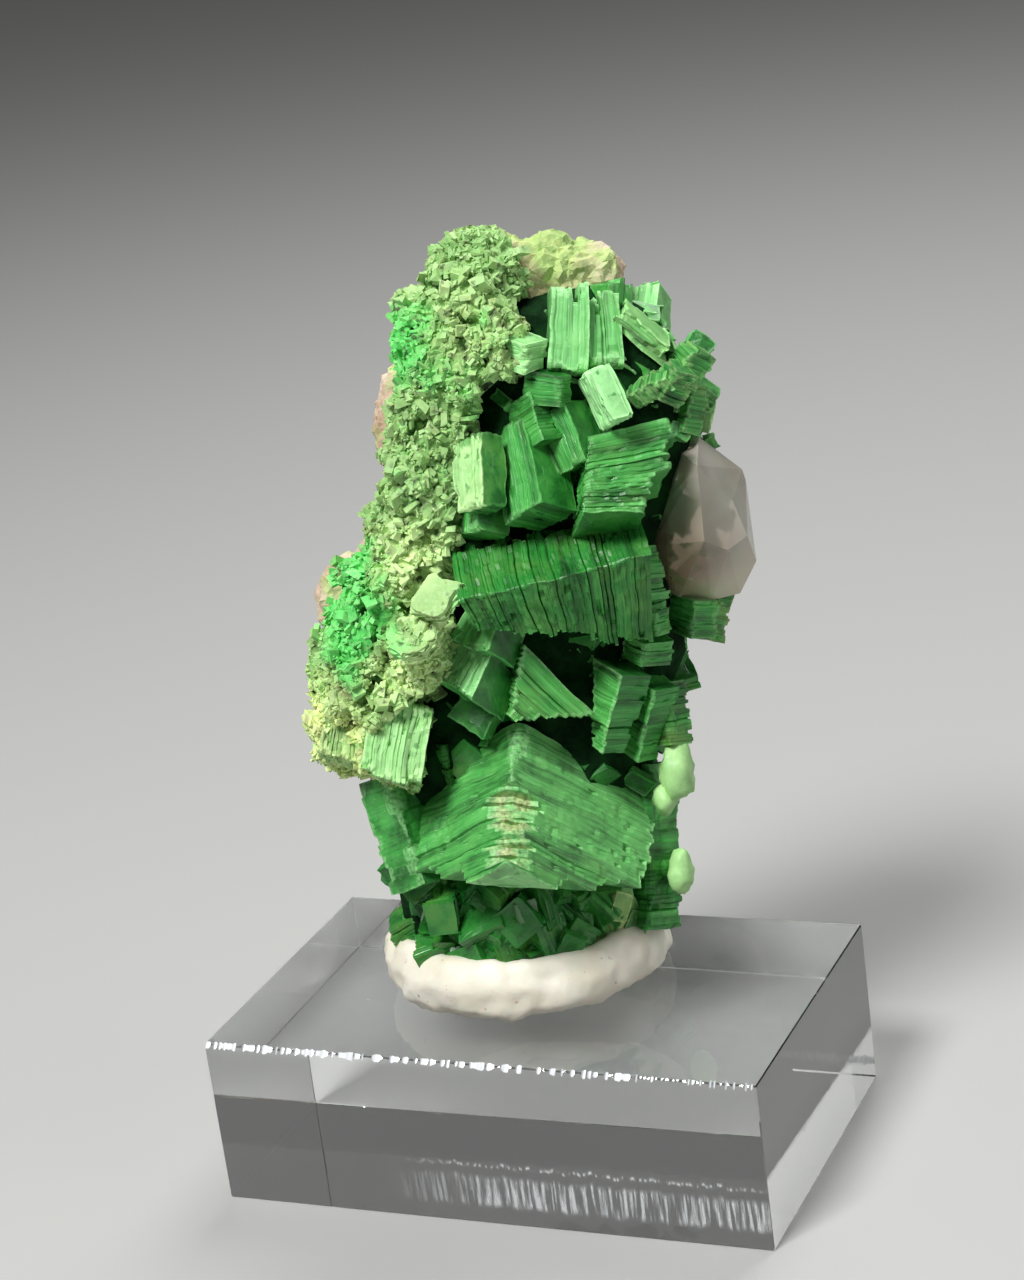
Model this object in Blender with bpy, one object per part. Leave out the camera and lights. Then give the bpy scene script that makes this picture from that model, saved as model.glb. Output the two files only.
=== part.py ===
"""A torbernite specimen stuck with white putty on a small block of clear acrylic.

Square green crystals, each a book of thin plates, cover the front of a lump of
host rock. A pale crust of fine crystals runs down the left flank, and a smoky
quartz crystal stands out at the right. Lengths are in metres, +Z is up and the
origin is at the middle of the block's underside, with X along its long side.
"""

import math
import random
from collections import namedtuple

import bmesh
import bpy
from mathutils import Matrix, Vector

MM = 0.001

# Block: an inch and a quarter by three quarters by three eighths.
BLOCK_WIDTH = 31.75 * MM
BLOCK_DEPTH = 19.05 * MM
BLOCK_HEIGHT = 9.525 * MM
BLOCK_CORNER = 0.25 * MM

# The specimen stands on the block here, and is measured as seen from its front:
# turned about the upright, looked down on, and rolled a little to the right.
FOOT = Vector((-0.77, 1.23, 9.525)) * MM
SIGHT_TURN = math.radians(24.97)
SIGHT_DROP = math.radians(18.9)
SIGHT_ROLL = math.radians(-7.71)
EYE = Vector((-1.1, 18.5, 166.4)) * MM

# Putty: an oval pat with a rolled rim, pressed up round the specimen's foot. Each
# ring is a height in mm and the share of the radii that it reaches.
PUTTY_RADII = (8.0, 6.7)
PUTTY_RINGS = ((0.0, 0.93), (0.6, 1.0), (1.9, 1.0), (2.9, 0.93), (3.3, 0.84))
PUTTY_BED = ((2.6, 0.70), (1.6, 0.62))
PUTTY_SIDES = 28
PUTTY_WAVE = 0.03

# Gap left between neighbours, and the small slope and jut of a crystal's ledges.
GAP = 0.3
LEDGE_SLOPE = 0.04
LEDGE_JUT = 0.05


def sight_axes():
    """Right, up and towards the eye, and the level direction towards the eye."""
    turn = Matrix.Rotation(SIGHT_TURN, 3, "Z")
    right = turn @ Vector((1, 0, 0))
    up = turn @ Vector((0, math.sin(SIGHT_DROP), math.cos(SIGHT_DROP)))
    toward = right.cross(up)
    roll = Matrix.Rotation(SIGHT_ROLL, 3, toward)
    return roll @ right, roll @ up, toward, turn @ Vector((0, -1, 0))


RIGHT, UP, TOWARD, LEVEL = sight_axes()
SIGHT = Matrix((RIGHT, UP, TOWARD)).transposed()


def seen(spot):
    """The point seen so many mm right of and above the foot, and so far ahead of it."""
    right, up, front = spot
    mark = (RIGHT * right + UP * up) * MM
    eye = SIGHT @ EYE
    share = (eye.dot(LEVEL) - front * MM) / (eye - mark).dot(LEVEL)
    return FOOT + mark * share + eye * (1 - share)


def axes_of(angles):
    """A crystal's axes from its turn about the stack, its lean back and its roll."""
    turn, lean, roll = (math.radians(angle) for angle in angles)
    spin = Matrix.Rotation(turn, 3, "Y")
    tip = Matrix.Rotation(-lean, 3, "X")
    face = Matrix.Rotation(roll, 3, "Z")
    return SIGHT @ face @ tip @ spin


# A crystal is a stack of square plates. Its spot is the middle of the stack edge
# nearest the eye. Its size is the two sides that go back from that edge and the
# height of the stack. Low gives the share of the sides left at the low end, and
# slide is how far the top is shifted along the first side. All lengths are in mm.
# The outline of the plates is given in shares of the two sides.
SQUARE = ((0.0, 0.0), (1.0, 0.0), (1.0, 1.0), (0.0, 1.0))
TRIANGLE = ((0.0, 0.0), (1.0, 0.0), (0.55, 1.0), (0.4, 1.0))
CLIPPED = ((0.3, 0), (0.7, 0), (1, 0.3), (1, 0.7), (0.7, 1), (0.3, 1), (0, 0.7), (0, 0.3))
Crystal = namedtuple("Crystal", "name spot size angles low slide ledges outline")
Crystal.__new__.__defaults__ = ((1.0, 1.0), 0.0, 2, SQUARE)

CRYSTALS = (
    Crystal("lower_book", (-1.2, 10.9, 7.0), (10.2, 9.2, 7.2), (40, 33, -4), (0.97, 0.93), 0, 4),
    Crystal("upper_right_book", (2.95, 27.7, 6.6), (5.0, 4.4, 4.4), (12, 18, 14), (0.82, 0.9), 1.3, 5),
    Crystal("middle_book", (1.2, 22.0, 7.6), (5.1, 3.1, 9.2), (34, -5, -74), (0.42, 0.95), 0.4, 5),
    Crystal("centre_prism", (0.1, 28.2, 5.4), (2.8, 2.8, 4.6), (47, 18, 10), (1.0, 0.9), 0, 3),
    Crystal("upper_centre", (0.3, 31.0, 4.8), (2.0, 2.4, 2.6), (40, 10, 16)),
    Crystal("upright_slab", (-2.8, 28.7, 5.4), (2.4, 2.8, 2.7), (36, 4, 5)),
    Crystal("slab_foot", (-3.1, 25.9, 5.0), (2.2, 2.2, 2.4), (35, 15, -4), (0.65, 0.6)),
    Crystal("mint_slab", (4.1, 30.3, 5.3), (1.4, 3.1, 2.8), (76, -79, -52)),
    Crystal("dark_top_crystal", (1.6, 32.2, 5.0), (1.4, 2.4, 1.6), (60, -15, -3)),
    Crystal("column_left", (2.0, 33.4, 4.2), (3.9, 2.6, 1.9), (10, 0, 90)),
    Crystal("column_right", (4.1, 33.9, 3.6), (3.3, 2.6, 1.6), (14, 0, 88)),
    Crystal("ledge_plate", (4.6, 36.6, 2.0), (3.8, 2.4, 1.1), (12, -20, -42)),
    Crystal("pale_ledge", (-0.3, 34.0, 4.8), (2.2, 2.0, 1.6), (50, -22, -3)),
    Crystal("fan_top", (-2.4, 19.2, 3.8), (2.6, 2.4, 2.0), (62, -44, 74)),
    Crystal("fan_upper", (-0.8, 16.9, 3.9), (2.2, 2.8, 1.6), (65, -61, 80)),
    Crystal("fan_left", (-3.4, 16.6, 4.2), (2.8, 2.6, 1.8), (58, -55, 62)),
    Crystal("fan_lower", (-1.2, 15.0, 3.3), (2.6, 2.4, 1.8), (67, -72, 82)),
    Crystal("fan_foot", (-2.4, 14.0, 2.6), (2.0, 2.4, 2.6), (30, 8, -8)),
    Crystal("wedge", (-0.2, 18.1, 4.6), (5.3, 4.4, 1.2), (9, 58, -43), (1, 1), 0, 2, TRIANGLE),
    Crystal("wedge_foot", (-0.7, 15.2, 2.9), (2.8, 2.2, 2.3), (30, -6, -14)),
    Crystal("block_b", (4.4, 14.3, 4.2), (1.5, 2.3, 4.0), (38, -30, -11), (0.8, 0.8)),
    Crystal("block_c", (6.0, 13.6, 3.2), (2.0, 2.2, 3.8), (48, -22, -14), (0.8, 0.8)),
    Crystal("right_plate", (6.2, 17.6, 4.2), (2.3, 1.8, 1.4), (40, -20, -8)),
    Crystal("right_dark", (6.8, 19.6, 4.4), (1.4, 1.5, 1.7), (46, -10, 4)),
    Crystal("gap_crystal", (6.3, 22.2, 4.6), (1.5, 2.2, 2.8), (38, 6, 14)),
    Crystal("cavity_floor", (-4.6, 11.4, 2.6), (2.6, 2.6, 2.4), (44, -12, 10)),
    Crystal("teal_column", (-7.0, 8.0, 3.6), (2.6, 2.8, 6.2), (46, 6, 17)),
    Crystal("foot_dark", (-3.8, 3.0, 5.4), (4.6, 4.0, 3.2), (42, 12, -8)),
    Crystal("foot_mid", (-0.2, 2.6, 5.2), (3.4, 3.4, 2.8), (36, 6, 4)),
    Crystal("foot_pale", (2.9, 2.4, 4.6), (3.2, 2.8, 2.6), (30, 5, 8)),
    Crystal("right_bump", (8.0, 10.8, 1.4), (1.8, 1.8, 3.0), (42, 4, 8)),
    Crystal("right_column", (6.2, 5.8, 2.4), (2.6, 3.0, 6.0), (40, 2, 3)),
    Crystal("under_quartz", (9.0, 19.6, 3.0), (2.0, 2.2, 2.0), (40, -10, -10)),
    Crystal("olive_block", (10.2, 20.0, 1.4), (1.5, 2.6, 2.9), (40, 0, -12)),
    Crystal("olive_side", (7.6, 14.4, 2.6), (1.8, 2.2, 3.4), (42, 0, 6)),
    Crystal("rough_a", (7.6, 32.6, 4.0), (1.7, 1.8, 1.9), (38, -20, -30)),
    Crystal("rough_b", (8.6, 33.8, 2.8), (1.7, 1.8, 1.9), (36, -10, -35)),
    Crystal("rough_c", (6.2, 32.6, 3.6), (1.2, 1.6, 2.4), (30, -30, -60)),
    Crystal("rough_d", (8.6, 31.4, 2.4), (1.7, 2.0, 2.6), (40, 0, -10)),
)

# The frosted, yellow-green crystals that belong to the crust of the left flank.
CRUST_CRYSTALS = (
    Crystal("corner_plate", (-3.5, 21.4, 6.4), (1.9, 2.0, 1.2), (122, -48, 30)),
    Crystal("round_plate", (-4.6, 19.0, 6.0), (2.2, 2.2, 1.4), (115, -50, 22), outline=CLIPPED),
    Crystal("torn_plates", (-8.1, 10.9, 4.0), (4.6, 2.4, 3.2), (8, 0, 82), (1.0, 1.0), 0.3, 4),
    Crystal("torn_left", (-10.9, 11.9, 1.4), (2.8, 2.2, 2.6), (14, 4, 84), (1.0, 1.0), 0.4, 3),
)

# A mass is a pile of rough oval outlines, from the bottom up: how far up and right
# its middle is seen, its half width, how far ahead it stands and its half depth.
Ring = namedtuple("Ring", "up right wide front deep")

# The mass of small green crystals behind the large ones.
CORE = (
    Ring(0.8, -0.4, 5.8, 0.4, 3.4),
    Ring(5.0, -0.6, 6.4, 0.4, 3.2),
    Ring(10.0, -0.6, 6.8, 0.2, 3.0),
    Ring(14.0, 0.4, 7.0, -0.2, 2.8),
    Ring(18.0, 0.9, 7.2, -0.2, 3.0),
    Ring(22.0, 1.4, 7.0, 0.2, 3.4),
    Ring(26.0, 1.6, 7.0, 0.4, 3.4),
    Ring(30.0, 2.0, 7.4, 0.2, 3.2),
    Ring(33.5, 2.4, 6.8, -0.2, 3.0),
    Ring(36.5, 1.8, 4.6, -0.8, 2.4),
    Ring(38.0, 1.0, 2.6, -1.2, 1.4),
)
HOST = (
    Ring(0.6, -0.4, 5.0, -2.0, 3.4),
    Ring(4.0, -0.4, 5.6, -2.3, 3.6),
    Ring(8.0, -0.7, 6.2, -2.4, 3.6),
    Ring(12.0, -1.6, 7.4, -2.5, 3.7),
    Ring(15.5, -2.7, 9.0, -2.5, 3.7),
    Ring(19.0, -2.6, 9.0, -2.5, 3.7),
    Ring(22.5, -1.6, 8.6, -2.5, 3.7),
    Ring(26.0, -0.4, 7.8, -2.5, 3.7),
    Ring(30.0, -0.4, 7.8, -2.5, 3.7),
    Ring(33.5, -0.4, 7.6, -2.5, 3.5),
    Ring(36.5, 0.3, 5.0, -2.6, 3.0),
    Ring(38.6, 0.6, 2.8, -2.4, 2.0),
)
CRUST = (
    Ring(11.4, -9.6, 1.8, -0.2, 1.6),
    Ring(14.0, -8.8, 2.8, 0.6, 2.4),
    Ring(17.0, -8.0, 3.5, 1.2, 2.8),
    Ring(20.5, -7.6, 3.3, 1.4, 2.8),
    Ring(23.5, -6.6, 2.6, 1.6, 2.6),
    Ring(27.0, -5.7, 2.3, 1.8, 2.4),
    Ring(31.0, -5.3, 2.5, 1.6, 2.4),
    Ring(34.0, -4.4, 2.9, 1.4, 2.6),
    Ring(37.0, -3.7, 2.6, 0.4, 2.4),
    Ring(39.6, -2.9, 1.9, -0.4, 2.0),
    Ring(40.8, -2.7, 1.0, -0.6, 1.0),
)
REAR = (
    Ring(9.5, -1.2, 3.0, -4.0, 1.4),
    Ring(13.0, -1.4, 4.8, -4.4, 2.2),
    Ring(18.0, -0.6, 5.8, -4.6, 2.4),
    Ring(23.0, 0.4, 6.0, -4.6, 2.5),
    Ring(28.0, 1.4, 5.6, -4.6, 2.4),
    Ring(32.0, 1.8, 4.6, -4.4, 2.2),
    Ring(36.5, 1.0, 2.4, -4.0, 1.6),
)
MASS_SIDES = 12
MASS_ROUGHNESS = 0.10
MASS_LIFT = 0.5

# A lump is a boulder that stands out of a mass: where its middle is seen and its
# three radii as seen.
HOST_LUMPS = (
    ((-6.2, 31.2, -2.4), (2.4, 3.6, 2.4)),
    ((-1.8, 39.0, -2.2), (1.7, 2.0, 1.7)),
    ((1.0, 39.2, -2.0), (2.1, 1.8, 1.8)),
    ((3.3, 38.6, -2.4), (1.7, 2.1, 1.6)),
    ((-9.6, 20.6, -2.8), (2.2, 3.0, 2.4)),
)
CRUST_LUMPS = (
    ((-2.8, 38.6, -0.2), (2.2, 2.4, 2.2)),
    ((-2.8, 34.6, 2.6), (2.2, 3.0, 2.0)),
    ((-5.6, 35.2, 0.8), (2.0, 2.4, 2.2)),
    ((-5.2, 26.6, 2.8), (2.0, 3.0, 1.9)),
    ((-6.2, 18.6, 3.2), (1.9, 2.8, 1.9)),
    ((-10.4, 16.8, 0.2), (2.0, 2.8, 2.2)),
)
LUMP_ROUGHNESS = 0.12

# Corners of the smoky quartz, as seen: the ridges round its front facet, its outer
# edge, and its hidden back.
QUARTZ_CLEARANCE = 1.3
QUARTZ_CORNERS = (
    (9.2, 28.2, 4.0),
    (11.2, 26.2, 3.0),
    (12.0, 24.3, 2.6),
    (10.9, 23.5, 3.6),
    (9.6, 24.0, 4.4),
    (9.3, 29.8, 1.4),
    (11.7, 28.0, 0.4),
    (11.9, 27.4, 0.4),
    (12.5, 22.9, 0.8),
    (11.6, 21.1, 0.8),
    (10.0, 20.7, 1.6),
    (8.2, 20.9, 2.0),
    (7.1, 21.4, 1.6),
    (6.7, 23.7, 2.2),
    (7.6, 26.3, 2.6),
    (8.2, 29.0, 1.8),
    (8.4, 28.6, -2.8),
    (11.2, 26.8, -2.8),
    (12.0, 23.2, -2.6),
    (9.6, 20.6, -2.8),
    (6.8, 23.0, -3.0),
)

# The right flank and the back carry small crystals, sown over part of the way
# round their mass: 0 is right, a quarter turn is ahead. The crust's are flakes.
SOWN_SIDES = (1.6, 2.8)
FLANK_DEPTH = 0.7
REAR_DEPTH = 0.35
FLANK_CRYSTALS = 16
FLANK_WAY = (-70, 20)
REAR_CRYSTALS = 34
REAR_WAY = (190, 350)
FLAKES = 76
FLAKE_WAY = (45, 195)
FLAKE_SIDES = (0.9, 1.9)
FLAKE_PROPORTIONS = (0.35, 1.2)
FLAKE_DEPTH = 0.97


def on_mass(mass, way, depth, rng):
    """A random spot at some depth in a mass, within the part of its turn given."""
    place = rng.uniform(0, len(mass) - 1.001)
    low, high = mass[int(place)], mass[int(place) + 1]
    part = place - int(place)
    ring = Ring(*(a + (b - a) * part for a, b in zip(low, high)))
    angle = math.radians(rng.uniform(*way))
    right = ring.right + ring.wide * depth * math.cos(angle)
    front = ring.front + ring.deep * depth * math.sin(angle)
    return right, ring.up, front


def sown(name, mass, count, way, depth, rng):
    """Crystals at random angles over the side of a mass."""
    found = []
    for index in range(count):
        spot = on_mass(mass, way, depth, rng)
        sides = [rng.uniform(*SOWN_SIDES) for _ in range(3)]
        angles = (rng.uniform(10, 80), rng.uniform(-50, 50), rng.uniform(-90, 90))
        found.append(Crystal(f"{name}_{index}", spot, sides, angles, ledges=1))
    return found


def box_rings(crystal, rng, grow):
    """The stacked outlines of a crystal, each ledge a little off the last."""
    side_a, side_b, height = crystal.size
    rings = []
    for ledge in range(crystal.ledges):
        jut = [rng.uniform(-LEDGE_JUT, LEDGE_JUT) for _ in range(4)]
        for end in (0, 1):
            share = (ledge + end) / crystal.ledges
            slope = LEDGE_SLOPE * (1 - 2 * end) if 0 < share < 1 else grow * (2 * end - 1)
            up = (share - 0.5) * height + slope
            slid = crystal.slide * (share - 0.5)
            low_a, low_b = (low + (1 - low) * share for low in crystal.low)
            near_a = side_a * jut[2] + slid - grow
            near_b = side_b * jut[3] - grow
            far_a = side_a * low_a * (1 + jut[0]) + slid + grow
            far_b = side_b * low_b * (1 + jut[1]) + grow
            wide_a, wide_b = far_a - near_a, far_b - near_b
            corners = [(near_a + wide_a * a, near_b + wide_b * b) for a, b in crystal.outline]
            rings.append([Vector((a, up, -b)) for a, b in corners])
    return rings


def add_rings(bm, rings):
    """One closed skin through a pile of outlines, listed from the bottom up."""
    count = len(rings[0])
    loops = [[bm.verts.new(point) for point in ring] for ring in rings]
    for low, high in zip(loops, loops[1:]):
        for side in range(count):
            after = (side + 1) % count
            bm.faces.new((low[side], low[after], high[after], high[side]))
    bm.faces.new(reversed(loops[0]))
    bm.faces.new(loops[-1])


def add_crystal(bm, crystal, rng, grow):
    """One crystal, as a stack of ledges set at its spot."""
    axes = axes_of(crystal.angles)
    spot = seen(crystal.spot)
    rings = box_rings(crystal, rng, grow)
    add_rings(bm, [[spot + axes @ (point * MM) for point in ring] for ring in rings])


def add_mass(bm, mass, rng, grow):
    """The closed skin of a mass, made rough by moving its corners about."""
    rings = []
    for index, ring in enumerate(mass):
        end = grow * ((index == len(mass) - 1) - (index == 0))
        points = []
        for side in range(MASS_SIDES):
            angle = 2 * math.pi * side / MASS_SIDES
            rough = 1 + rng.uniform(-MASS_ROUGHNESS, MASS_ROUGHNESS)
            right = ring.right + (ring.wide * rough + grow) * math.cos(angle)
            front = ring.front + (ring.deep * rough + grow) * math.sin(angle)
            up = ring.up + rng.uniform(-MASS_LIFT, MASS_LIFT) + end
            points.append(seen((right, up, front)))
        rings.append(points)
    add_rings(bm, rings)
    bmesh.ops.triangulate(bm, faces=bm.faces)


def add_lump(bm, lump, rng, grow):
    """A boulder of flat facets, roughened by moving its corners in and out."""
    middle, radii = lump
    sizes = Matrix.Diagonal([(radius + grow) * MM for radius in radii])
    made = bmesh.ops.create_icosphere(bm, subdivisions=2, radius=1.0)
    for vert in made["verts"]:
        rough = 1 + rng.uniform(-LUMP_ROUGHNESS, LUMP_ROUGHNESS)
        vert.co = seen(middle) + SIGHT @ sizes @ (vert.co * rough)


def add_flake(bm, rng, grow):
    """A small square crystal of the crust, at any angle."""
    place = seen(on_mass(CRUST, FLAKE_WAY, FLAKE_DEPTH, rng))
    axis = Vector([rng.gauss(0, 1) for _ in range(3)])
    spin = Matrix.Rotation(rng.uniform(0, math.pi), 3, axis)
    side = rng.uniform(*FLAKE_SIDES)
    sides = [side * rng.uniform(*FLAKE_PROPORTIONS) + 2 * grow for _ in range(3)]
    made = bmesh.ops.create_cube(bm, size=1.0)
    for vert in made["verts"]:
        vert.co = place + spin @ Matrix.Diagonal(sides) @ vert.co * MM


def material(name, colour, roughness, metallic=0.0):
    """A plain finish with the sub-part's own colour."""
    made = bpy.data.materials.new(name)
    made.use_nodes = True
    shader = made.node_tree.nodes["Principled BSDF"]
    shader.inputs["Base Color"].default_value = (*colour, 1.0)
    shader.inputs["Roughness"].default_value = roughness
    shader.inputs["Metallic"].default_value = metallic
    made.diffuse_color = (*colour, 1.0)
    return made


def new_object(name, bm, finish=None):
    """An object in the scene from a finished bmesh."""
    mesh = bpy.data.meshes.new(name)
    bmesh.ops.recalc_face_normals(bm, faces=bm.faces)
    bm.to_mesh(mesh)
    bm.free()
    if finish:
        mesh.materials.append(finish)
    obj = bpy.data.objects.new(name, mesh)
    bpy.context.scene.collection.objects.link(obj)
    return obj


def combine(obj, operation, other):
    """Apply a Boolean to an object, and use up the other one."""
    tool = obj.modifiers.new(operation, "BOOLEAN")
    tool.solver = "EXACT"
    tool.operation = operation
    tool.use_self = True
    tool.object = other
    graph = bpy.context.evaluated_depsgraph_get()
    result = bpy.data.meshes.new_from_object(obj.evaluated_get(graph))
    obj.modifiers.remove(tool)
    obj.data = result
    bpy.data.objects.remove(other)


def islands(bm):
    """The separate skins of a mesh, as lists of faces."""
    left = set(bm.faces)
    found = []
    while left:
        queue = [left.pop()]
        island = []
        while queue:
            face = queue.pop()
            island.append(face)
            beside = {other for edge in face.edges for other in edge.link_faces} & left
            left -= beside
            queue.extend(beside)
        found.append(island)
    return found


def keep_largest(obj):
    """Drop the chips that the cuts leave loose."""
    bm = bmesh.new()
    bm.from_mesh(obj.data)
    parts = sorted(islands(bm), key=lambda faces: sum(face.calc_area() for face in faces))
    chips = [face for faces in parts[:-1] for face in faces]
    bmesh.ops.delete(bm, geom=chips, context="FACES")
    bm.to_mesh(obj.data)
    bm.free()


# A growth is what a node is made of, so that the same shape can be made again a
# little larger, as the hollow that its neighbours leave for it.
Growth = namedtuple("Growth", "mass lumps flakes crystals seed")


def grown(name, growth, finish=None, grow=0.0):
    """One closed solid of a growth, its pieces joined where they overlap."""
    rng = random.Random(growth.seed)
    mass = bmesh.new()
    add_mass(mass, growth.mass, rng, grow)
    rest = bmesh.new()
    for lump in growth.lumps:
        add_lump(rest, lump, rng, grow)
    for _ in range(growth.flakes):
        add_flake(rest, rng, grow)
    for crystal in growth.crystals:
        add_crystal(rest, crystal, rng, grow)
    obj = new_object(name, mass, finish)
    combine(obj, "UNION", new_object("rest", rest))
    return obj


def build_block():
    """The clear block, with its edges just broken."""
    bm = bmesh.new()
    bmesh.ops.create_cube(bm, size=1.0)
    for vert in bm.verts:
        vert.co.x *= BLOCK_WIDTH
        vert.co.y *= BLOCK_DEPTH
        vert.co.z = (vert.co.z + 0.5) * BLOCK_HEIGHT
    bmesh.ops.bevel(bm, geom=bm.edges, offset=BLOCK_CORNER, segments=1, affect="EDGES")
    return new_object("acrylic_base", bm, material("clear_acrylic", (0.82, 0.84, 0.85), 0.06))


def putty_ring(height, share, grow):
    """One oval outline of the putty, slightly wavy."""
    across = Vector((math.cos(SIGHT_TURN), math.sin(SIGHT_TURN), 0))
    ring = []
    for side in range(PUTTY_SIDES):
        angle = 2 * math.pi * side / PUTTY_SIDES
        wave = share * (1 + PUTTY_WAVE * math.sin(3 * angle))
        right = (PUTTY_RADII[0] * wave + grow) * math.cos(angle)
        front = (PUTTY_RADII[1] * wave + grow) * math.sin(angle)
        ring.append(FOOT + (across * right - LEVEL * front + Vector((0, 0, height))) * MM)
    return ring


def build_putty(name, finish=None, grow=0.0):
    """An oval pat, hollowed on top where the specimen sits in it."""
    rings = [putty_ring(height + GAP, share, grow) for height, share in PUTTY_RINGS[:-1]]
    rings.append(putty_ring(PUTTY_RINGS[-1][0] + GAP + grow, PUTTY_RINGS[-1][1], grow))
    rings += [putty_ring(height + GAP + grow, share, -grow) for height, share in PUTTY_BED]
    bm = bmesh.new()
    add_rings(bm, rings)
    return new_object(name, bm, finish)


def build_quartz(name, finish=None, grow=0.0):
    """The quartz crystal: the flat-faced hull of its corners."""
    corners = [seen(corner) for corner in QUARTZ_CORNERS]
    middle = sum(corners, Vector()) / len(corners)
    bm = bmesh.new()
    for corner in corners:
        out = corner - middle
        bm.verts.new(corner + out.normalized() * (grow * QUARTZ_CLEARANCE * MM))
    hull = bmesh.ops.convex_hull(bm, input=bm.verts)
    spare = [item for item in hull["geom_interior"] if isinstance(item, bmesh.types.BMVert)]
    bmesh.ops.delete(bm, geom=spare, context="VERTS")
    return new_object(name, bm, finish)


def main():
    for obj in list(bpy.data.objects):
        bpy.data.objects.remove(obj)
    green = material("torbernite", (0.05, 0.32, 0.11), 0.35)
    flank = sown("flank", CORE, FLANK_CRYSTALS, FLANK_WAY, FLANK_DEPTH, random.Random(8))
    rear = sown("rear", REAR, REAR_CRYSTALS, REAR_WAY, REAR_DEPTH, random.Random(9))
    front_growth = Growth(CORE, (), 0, CRYSTALS + tuple(flank), 1)
    rear_growth = Growth(REAR, (), 0, rear, 4)
    host_growth = Growth(HOST, HOST_LUMPS, 0, (), 2)
    crust_growth = Growth(CRUST, CRUST_LUMPS, FLAKES, CRUST_CRYSTALS, 3)
    build_block()
    build_putty("mounting_putty", material("putty", (0.78, 0.75, 0.66), 0.6))
    build_quartz("smoky_quartz", material("quartz", (0.42, 0.36, 0.31), 0.15))
    host = grown("host_rock", host_growth, material("rock", (0.62, 0.52, 0.44), 0.85))
    crust = grown("pale_crust", crust_growth, material("crust", (0.42, 0.62, 0.25), 0.7))
    cluster = grown("torbernite_cluster", front_growth, green)
    rear = grown("rear_torbernite", rear_growth, green)
    for obj in (host, crust, cluster, rear):
        combine(obj, "DIFFERENCE", build_putty("hollow", grow=GAP))
        combine(obj, "DIFFERENCE", build_quartz("hollow", grow=GAP))
    for obj in (crust, cluster, rear):
        combine(obj, "DIFFERENCE", grown("hollow", host_growth, grow=GAP))
    combine(cluster, "DIFFERENCE", grown("hollow", crust_growth, grow=GAP))
    for obj in (host, crust, cluster, rear):
        keep_largest(obj)


main()
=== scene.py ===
"""Looks of a torbernite specimen that stands in white putty on a small clear block.

Each green crystal is a book of thin plates, built plate by plate. The crust of the
left flank is made of small flakes, the rock is granular and the quartz is clear.
"""

import math
import random
from collections import namedtuple

import bpy
import numpy as np
from mathutils import Matrix, Vector


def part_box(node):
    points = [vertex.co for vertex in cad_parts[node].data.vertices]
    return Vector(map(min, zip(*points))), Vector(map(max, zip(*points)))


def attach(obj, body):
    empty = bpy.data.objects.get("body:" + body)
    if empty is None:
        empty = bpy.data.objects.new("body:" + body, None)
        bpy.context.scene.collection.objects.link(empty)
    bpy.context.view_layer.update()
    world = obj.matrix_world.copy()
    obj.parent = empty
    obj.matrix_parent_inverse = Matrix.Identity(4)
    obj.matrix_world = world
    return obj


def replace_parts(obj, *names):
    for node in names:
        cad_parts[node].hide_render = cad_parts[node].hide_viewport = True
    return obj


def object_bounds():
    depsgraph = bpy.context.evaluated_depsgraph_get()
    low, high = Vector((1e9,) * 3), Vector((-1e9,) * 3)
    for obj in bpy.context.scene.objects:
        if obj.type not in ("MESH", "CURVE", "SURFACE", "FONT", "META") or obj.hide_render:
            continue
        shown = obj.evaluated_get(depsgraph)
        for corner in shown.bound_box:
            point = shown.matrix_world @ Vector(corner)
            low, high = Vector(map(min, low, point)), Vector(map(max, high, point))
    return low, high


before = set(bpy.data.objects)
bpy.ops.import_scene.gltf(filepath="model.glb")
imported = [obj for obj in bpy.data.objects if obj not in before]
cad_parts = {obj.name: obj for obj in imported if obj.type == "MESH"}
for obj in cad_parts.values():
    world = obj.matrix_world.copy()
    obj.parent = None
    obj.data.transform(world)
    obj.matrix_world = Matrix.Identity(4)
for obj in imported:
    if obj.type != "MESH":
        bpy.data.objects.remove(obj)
CAD_BOX = [list(corner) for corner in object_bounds()]

MM = 0.001

# The specimen stands on the block here, and is measured as seen from its front:
# turned about the upright, looked down on, and rolled a little to the right.
FOOT = Vector((-0.77, 1.23, 9.525)) * MM
SIGHT_TURN = math.radians(24.97)
SIGHT_DROP = math.radians(18.9)
SIGHT_ROLL = math.radians(-7.71)
EYE = Vector((-1.1, 18.5, 166.4)) * MM
LENS = 84.13


def sight_axes():
    """Right, up and towards the eye, and the level direction towards the eye."""
    turn = Matrix.Rotation(SIGHT_TURN, 3, "Z")
    right = turn @ Vector((1, 0, 0))
    up = turn @ Vector((0, math.sin(SIGHT_DROP), math.cos(SIGHT_DROP)))
    toward = right.cross(up)
    roll = Matrix.Rotation(SIGHT_ROLL, 3, toward)
    return roll @ right, roll @ up, toward, turn @ Vector((0, -1, 0))


RIGHT, UP, TOWARD, LEVEL = sight_axes()
SIGHT = Matrix((RIGHT, UP, TOWARD)).transposed()


def seen(spot):
    """The point seen so many mm right of and above the foot, and so far ahead of it."""
    right, up, front = spot
    mark = (RIGHT * right + UP * up) * MM
    eye = SIGHT @ EYE
    share = (eye.dot(LEVEL) - front * MM) / (eye - mark).dot(LEVEL)
    return FOOT + mark * share + eye * (1 - share)


def axes_of(angles):
    """A crystal's axes from its turn about the stack, its lean back and its roll."""
    turn, lean, roll = (math.radians(angle) for angle in angles)
    spin = Matrix.Rotation(turn, 3, "Y")
    tip = Matrix.Rotation(-lean, 3, "X")
    face = Matrix.Rotation(roll, 3, "Z")
    return SIGHT @ face @ tip @ spin


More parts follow.
